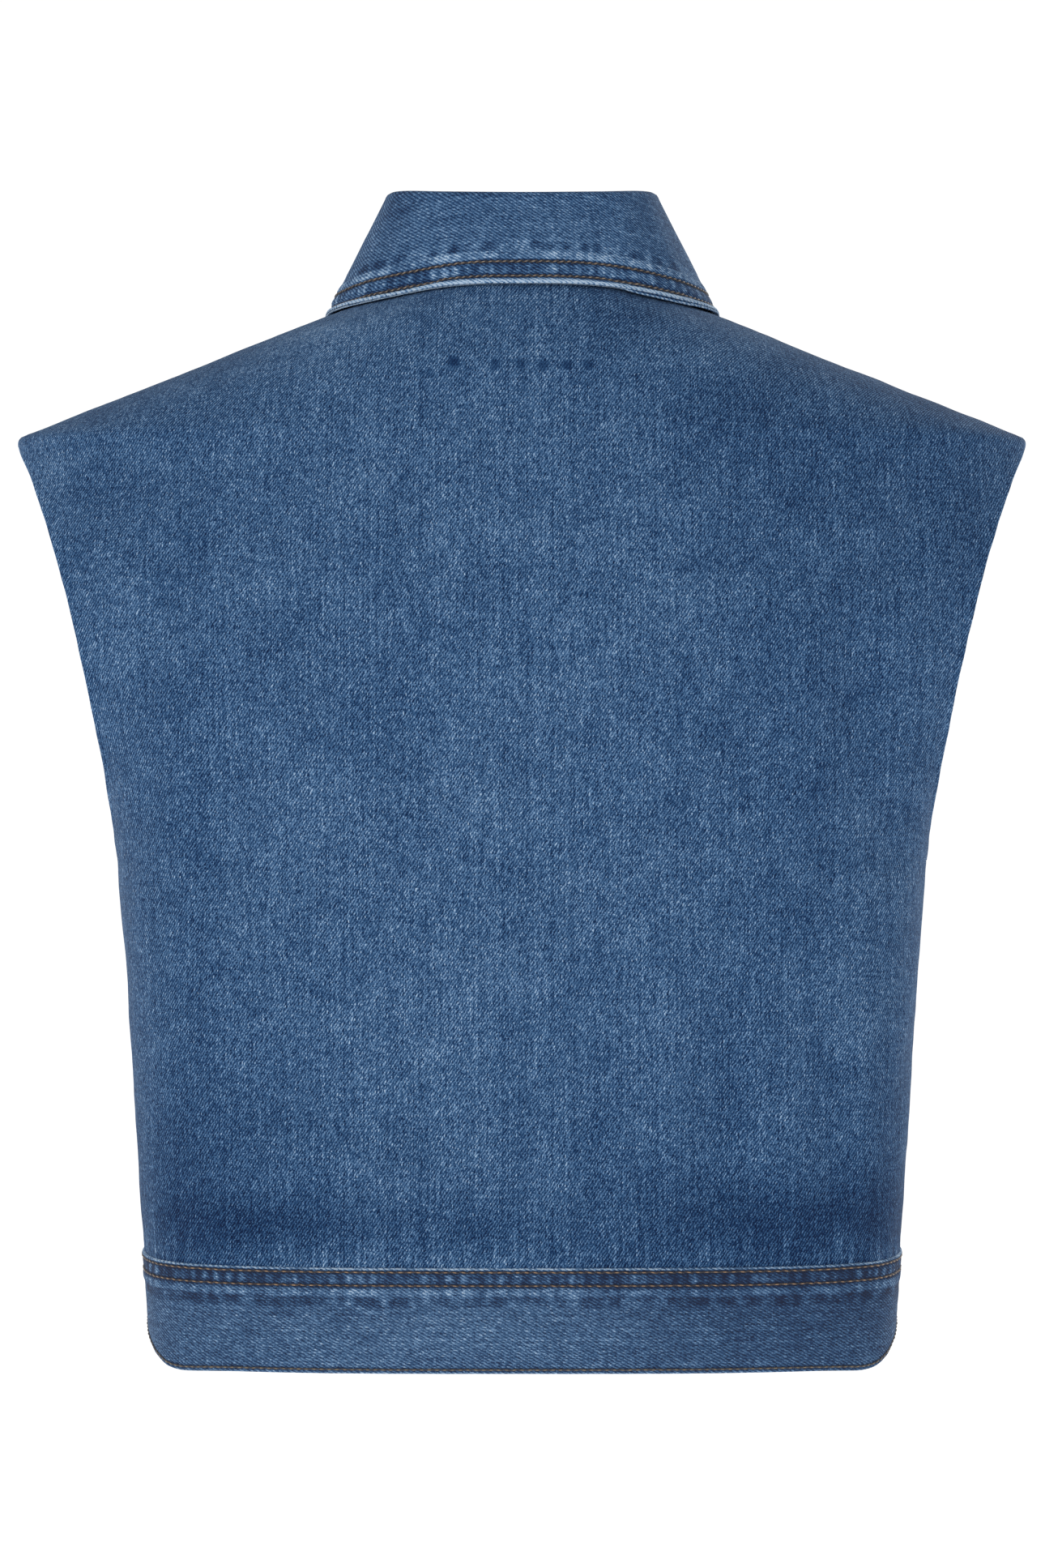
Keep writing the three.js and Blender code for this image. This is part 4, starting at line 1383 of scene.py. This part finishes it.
def collar_middle(turn, sideways, fall_shares):
    """The collar's middle face: a row for each turn, up the stand, over the fold and down."""
    fold = np.stack([collar_value(turn, f"fold_{axis}") for axis in "xyz"], axis=-1)
    edge = np.stack([collar_value(turn, f"edge_{axis}") for axis in "xyz"], axis=-1)
    angle = np.radians(turn)
    outwards = np.stack([np.sin(angle), np.cos(angle), np.zeros_like(angle)], axis=-1)
    up = np.array([0.0, 0.0, 1.0])
    seam = neckline(turn) - outwards * COLLAR_CLOTH / 2 + up * (COLLAR_LIFT - TUCK * 2)

    def roll(amount, drop):
        return fold + outwards * amount * COLLAR_ROLL - up * drop * COLLAR_ROLL

    inside = roll(-1, 1.3)
    outside = roll(0.9, 0.8)
    ladder = [seam + (inside - seam) * share for share in np.linspace(0, 0.9, 9)]
    ladder += [inside, roll(-0.7, 0.3), roll(0, 0), roll(0.6, 0.2), outside]
    room = COLLAR_CLEAR + COLLAR_CLOTH / 2
    settled = smoothstep(8, 40, sideways * turn)
    for share in fall_shares[1:]:
        pull = (0.2 + 0.25 * settled) * smoothstep(0.72, 1, share)
        spot = outside + (edge - outside) * share
        ladder.append(clear_of_body(spot, room - 0.6 * settled, pull))
    rows = np.stack(ladder, axis=1)
    rows[..., 0] *= sideways[:, None]
    return rows


def smooth_through(rows, parts):
    """Each row of points again with more points, on a smooth curve through the old ones."""
    before = np.concatenate([2 * rows[:, :1] - rows[:, 1:2], rows[:, :-2]], axis=1)
    start = rows[:, :-1]
    end = rows[:, 1:]
    after = np.concatenate([rows[:, 2:], 2 * rows[:, -1:] - rows[:, -2:-1]], axis=1)
    pieces = []
    for t in np.arange(parts) / parts:
        pieces.append(
            0.5 * (
                2 * start + (end - before) * t
                + (2 * before - 5 * start + 4 * end - after) * t**2
                + (3 * start - before - 3 * end + after) * t**3
            )
        )
    fine = np.stack(pieces, axis=2).reshape(len(rows), -1, 3)
    return np.concatenate([fine, rows[:, -1:]], axis=1)


def make_collar(outside, inside):
    last_turn = COLLAR[-1][0]
    station = np.linspace(-1, 1, 301)
    close = np.array([0.0007, 0.0016, 0.003])
    station = np.unique(np.concatenate([station, 1 - close, close - 1]))
    fall = np.concatenate([np.linspace(0, 0.62, 10), np.linspace(0.66, 0.985, 15), [1.0]])
    turn = np.abs(station) * last_turn
    middle = collar_middle(turn, np.where(station < 0, -1.0, 1.0), fall)
    middle = smooth_through(middle, 2)
    extra = np.linspace(0, 1, 4)[1:-1]
    tail = middle[:, -2:-1] + (middle[:, -1:] - middle[:, -2:-1]) * extra[None, :, None]
    middle = np.concatenate([middle[:, :-1], tail, middle[:, -1:]], axis=1)
    length = run_length(middle, 1)
    from_edge = length[:, -1:] - length
    ends = run_length(middle, 0)
    edge_run = ends[:, -1:] - ends[len(ends) // 2, -1]
    edge_run = np.broadcast_to(edge_run, length.shape)
    facing = -grid_normals(middle)
    nearest = np.minimum.reduce([ends, ends[-1:] - ends, length, from_edge])
    half = COLLAR_CLOTH / 2
    fall_part = smoothstep(FALL_DEPTH + 4, FALL_DEPTH, from_edge)
    from_front = np.minimum(ends, ends[-1:] - ends)
    border = np.minimum(from_edge, from_front)
    along = np.where(from_edge <= from_front, edge_run, from_edge)
    roll = puckers(along, np.abs(border - 7.2), 71, (4.4, 7.8), (1.4, 2.2), (10, 18), 0.3)
    above = puckers(along, np.abs(border - 13.5), 71, (4.4, 7.8), (1.6, 2.8), (5, 10), -0.2)
    between = window(5.0, 9.4, 0.8, border)
    bumpy = window(12.6, 15.4, 1.1, border)
    patches = window(17, 19.5, 2.2, border)
    wavy = uneven(edge_run, length, 73, 22, 60)
    lift = 0.45 * (roll - 0.4) * between + (0.25 + 0.3 * (above - 0.4)) * bumpy
    lift += 0.35 * bell(1.2, 1.3, border) + wavy * 0.15 - 0.15 * patches
    wear = 1.25 * bell(0.6, 1.7, border) + 1.5 * (roll - 0.42) * between
    gaps = puckers(along - 2, np.abs(border - 18), 74, (6, 15), (1.8, 3.6), (9, 16), -0.2)
    wear += (0.45 + 1.0 * (above - 0.35)) * bumpy
    # Painted shade: the dark patches below the rows stand for the shade under the puckers, with
    # pale gaps between them
    wear -= patches * np.clip(0.5 + 0.3 * wavy - 1.2 * gaps, -0.3, 0.7)
    # Each row sinks the cloth into a groove with a line of painted shade
    for row in COLLAR_ROWS_AT:
        lift -= 0.45 * bell(row, 0.85, border)
        wear = with_painted_groove_shade(wear, row, border, 1.1)
    lift *= fall_part
    # Painted shade: the stand, under the fold, is painted 0.15 darker
    wear = wear * fall_part + 0.06 * wavy - 0.15 * (1 - fall_part)
    shrink = rounded_edge(nearest, half)
    outer = middle + facing * (half + lift - shrink)[..., None]
    inner = middle - facing * (half - shrink)[..., None]
    # The under ply of the edge, parted from the upper one by a crack on the wearer's right; the
    # crack is painted dark as shade.
    downwards = unit(middle[:, -1] - middle[:, -8])
    side_turn = -station * last_turn
    peek = -0.3 + 1.7 * window(44, 84, 14, side_turn) * (1 - 0.25 * bell(70, 8, side_turn))
    crack = middle[:, -1] - downwards * 0.9 + facing[:, -1] * 0.1
    ply = middle[:, -1] + downwards * (peek[:, None] - 0.25) - facing[:, -1] * 0.05
    ply_end = middle[:, -1] + downwards * peek[:, None] - facing[:, -1] * half * 0.45
    outer = np.concatenate([outer, crack[:, None], ply[:, None], ply_end[:, None]], axis=1)
    under = middle[:, -1] + downwards * (peek[:, None] - 0.2) - facing[:, -1] * half * 0.92
    halfway = (inner[:, -1] + under) / 2
    start = inner[:, -1] * 0.99 + halfway * 0.01
    inner = np.concatenate([inner, start[:, None], halfway[:, None], under[:, None]], axis=1)
    more = np.zeros((len(station), UNDER_PLY))
    from_edge = np.concatenate([from_edge, more + (0.3, -0.6, -1.1)], axis=1)
    edge_run = np.concatenate([edge_run, edge_run[:, -1:] + more], axis=1)
    # The crack is painted dark as shade; the under ply's edge beyond it is paler with wear
    wear = np.concatenate([wear, more + (-1.2, 0.75, 0.9)], axis=1)
    facing = np.concatenate([facing, np.repeat(facing[:, -1:], UNDER_PLY, axis=1)], axis=1)
    grain = np.stack([from_edge, edge_run], axis=-1)
    marks = {"wear": wear, "streaks": np.zeros_like(wear)}
    piece = wall_object("cloth_collar", outer, inner, grain, marks, (outside, inside))
    declare(piece, "collar", middle)
    upper = slice(None, -UNDER_PLY)
    return outer[:, upper], facing[:, upper], from_edge[:, upper], from_front


def collar_rows(points, facing, from_edge, from_front):
    """Lines of stitches along the collar's outer edge and up both of its front ends."""
    lines = []
    for row in COLLAR_ROWS_AT:
        flipped = [np.swapaxes(values[:, ::-1], 0, 1) for values in (points, facing, from_edge)]
        spots, normals = line_at(*flipped, row)
        inside = from_front[:, -1] >= row
        lines.append((spots[inside], normals[inside]))
        middle = len(points) // 2
        on_fall = (from_edge[middle] >= row) & (from_edge[middle] <= FALL_DEPTH)
        for half in (slice(0, middle), slice(len(points) - 1, middle, -1)):
            spots, normals = line_at(points[half], facing[half], from_front[half], row)
            lines.append((spots[on_fall], normals[on_fall]))
    return lines


# Buttons and buttonholes

def on_lap(x, z):
    """Points on the outer face of the upper front, and its facing there."""
    surface = np.stack([x, -depth_at(x, z, FRONT), z], axis=-1)
    outwards = unit(body_slope(surface))
    outset = np.where(z < WAIST, BAND_PROUD, 0.0) + run_offset(FOLDS, x, z, FRONT)
    return surface + outwards * outset[..., None], outwards


HOLE_FROM = 4.0
HOLE_TO = -17.0
HOLE_HALF = 1.3


def buttonhole_line(height):
    """The line that a buttonhole's stitches cross, round its end away from the lap's edge."""
    straight = np.linspace(HOLE_FROM, HOLE_TO, 30)
    turn = np.linspace(0, math.pi, 9)[1:-1]
    x = np.concatenate([straight, HOLE_TO - HOLE_HALF * 1.3 * np.sin(turn), straight[::-1]])
    lean = np.concatenate([np.ones(30), np.cos(turn), -np.ones(30)])
    return on_lap(x, height + HOLE_HALF * lean)


def make_button(number, height, metal):
    """A round button on the lap, turned from a profile of radius and height."""
    points, facing = on_lap(np.zeros(1), np.full(1, float(height)))
    outwards = facing[0]
    seat = points[0] + outwards * SEAM
    profile = (
        (0, 0), (BUTTON_SHANK, 0), (BUTTON_SHANK - 0.2, 0.7), (BUTTON_SHANK, 1.2),
        (BUTTON_RADIUS - 0.9, 1.3), (BUTTON_RADIUS - 0.3, 1.5), (BUTTON_RADIUS, 2.0),
        (BUTTON_RADIUS - 0.1, 2.5), (BUTTON_RADIUS - 0.6, 3.0), (BUTTON_RADIUS - 1.3, 3.45),
        (BUTTON_RADIUS - 2.0, 3.65), (BUTTON_RADIUS - 2.5, 3.5), (BUTTON_RADIUS - 2.9, 3.15),
        (BUTTON_RADIUS - 3.4, 3.1), (BUTTON_RADIUS - 3.9, 3.3), (BUTTON_RADIUS - 4.4, 3.15),
        (BUTTON_RADIUS - 5.2, 3.25), (BUTTON_RADIUS - 6.6, 3.42), (0, 3.5),
    )
    sides = BUTTON_SIDES
    turned = Vector(outwards)
    across = turned.orthogonal().normalized()
    other = turned.cross(across)
    points = []
    rubbed = []
    for radius, up in profile:
        count = 1 if radius == 0 else sides
        for i in range(count):
            angle = 2 * math.pi * i / sides
            spot = across * (radius * math.cos(angle)) + other * (radius * math.sin(angle))
            points.append((Vector(seat) + spot + turned * up) * MM)
            rubbed.append(float(smoothstep(3.1, 3.6, np.float64(up))))
    faces = []
    start = 1
    faces += [(0, start + (i + 1) % sides, start + i) for i in range(sides)]
    for _ in range(len(profile) - 3):
        for i in range(sides):
            j = (i + 1) % sides
            faces.append((start + i, start + j, start + sides + j, start + sides + i))
        start += sides
    top = start + sides
    faces += [(start + i, start + (i + 1) % sides, top) for i in range(sides)]
    name = f"stud_{number}"
    mesh = bpy.data.meshes.new(name)
    mesh.from_pydata([tuple(point) for point in points], [], faces)
    attribute = mesh.attributes.new("rubbed", "FLOAT", "POINT")
    attribute.data.foreach_set("value", np.array(rubbed, dtype=np.float32))
    mesh.materials.append(metal)
    mesh.shade_smooth()
    made = add_object(name, mesh)
    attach(made, "root")
    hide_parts(f"button_{number}")


def main():
    make_camera()
    make_lights()
    make_floor()
    bpy.context.scene.view_settings.view_transform = "Standard"
    panel_cloth = denim("denim_panel", faded=0.472, contrast=0.9, broken=0.9)
    band_cloth = denim("denim_band", 0.465, 0.85, 0.7, TURNED_PICK_PITCH, 0.07)
    collar_cloth = denim("denim_collar", 0.495, 0.93, 0.5, TURNED_PICK_PITCH, 0.03)
    reverse = denim("denim_reverse", dust=0.15, inside=True)
    # Each thread gets its lit colour and then a dark copy of it for its painted shade
    gold = thread("thread_gold", linear(152, 122, 92), linear(30, 24, 30))
    olive = thread("thread_olive", linear(122, 108, 84), linear(40, 38, 44))
    brown = thread("thread_brown", linear(136, 120, 104), linear(26, 21, 26))
    metal = button_metal("button_copper")

    make_back(panel_cloth, reverse)
    left = make_front("left", panel_cloth, reverse, mirrored=False, under=True)
    right = make_front("right", panel_cloth, reverse, mirrored=True, under=False)
    bands = {row[0]: make_band(*row, band_cloth, reverse) for row in BANDS}
    collar = make_collar(collar_cloth, reverse)

    tree = stitch_tree()
    for name, grid in bands.items():
        normals = grid.outwards
        rows = [line_at(grid.outer, normals, grid.from_top, at) for at in BAND_ROWS_AT]
        sew(f"stitches_waist_{name}", tree, rows, gold, 3, slant=-0.08)
        flipped = (grid.outer[::-1], normals[::-1], grid.from_bottom[::-1])
        hem = [line_at(*flipped, HEM_ROW_AT)]
        if name != "back":
            lap = (grid.outer, normals, grid.from_start)
            spots, facing = line_at(*[np.swapaxes(values, 0, 1) for values in lap], LAP_ROW_AT)
            inside = (grid.from_top[:, 0] > 10) & (grid.from_bottom[:, 0] > HEM_ROW_AT)
            hem.append((spots[inside], facing[inside]))
        sew(f"stitches_hem_{name}", tree, hem, olive, 4, Pitch=3.6, Length=3.7)
    sizes = {"Pitch": 3.4, "Length": 3.9, "Thickness": 1.0}
    sew("stitches_collar", tree, collar_rows(*collar), brown, 5, slant=0.22, tilt=0.12, **sizes)
    for name, grid in (("left", left), ("right", right)):
        points = np.swapaxes(grid.outer, 0, 1)
        facing = np.swapaxes(grid.outwards, 0, 1)
        distance = np.swapaxes(grid.from_start, 0, 1)
        rows = [line_at(points, facing, distance, at) for at in FRONT_ROWS_AT]
        sew(f"stitches_front_{name}", tree, rows, gold, 6, Pitch=3.6, Length=3.7)
    holes = [buttonhole_line(height) for height in BUTTON_HEIGHTS]
    sizes = {"Pitch": 0.62, "Length": 2.5, "Thickness": 0.6, "Sink": 0.25}
    sew("stitches_buttonholes", tree, holes, olive, 7, slant=math.pi / 2, tilt=0.06, **sizes)
    for number, height in enumerate(BUTTON_HEIGHTS, start=1):
        make_button(number, height, metal)


main()
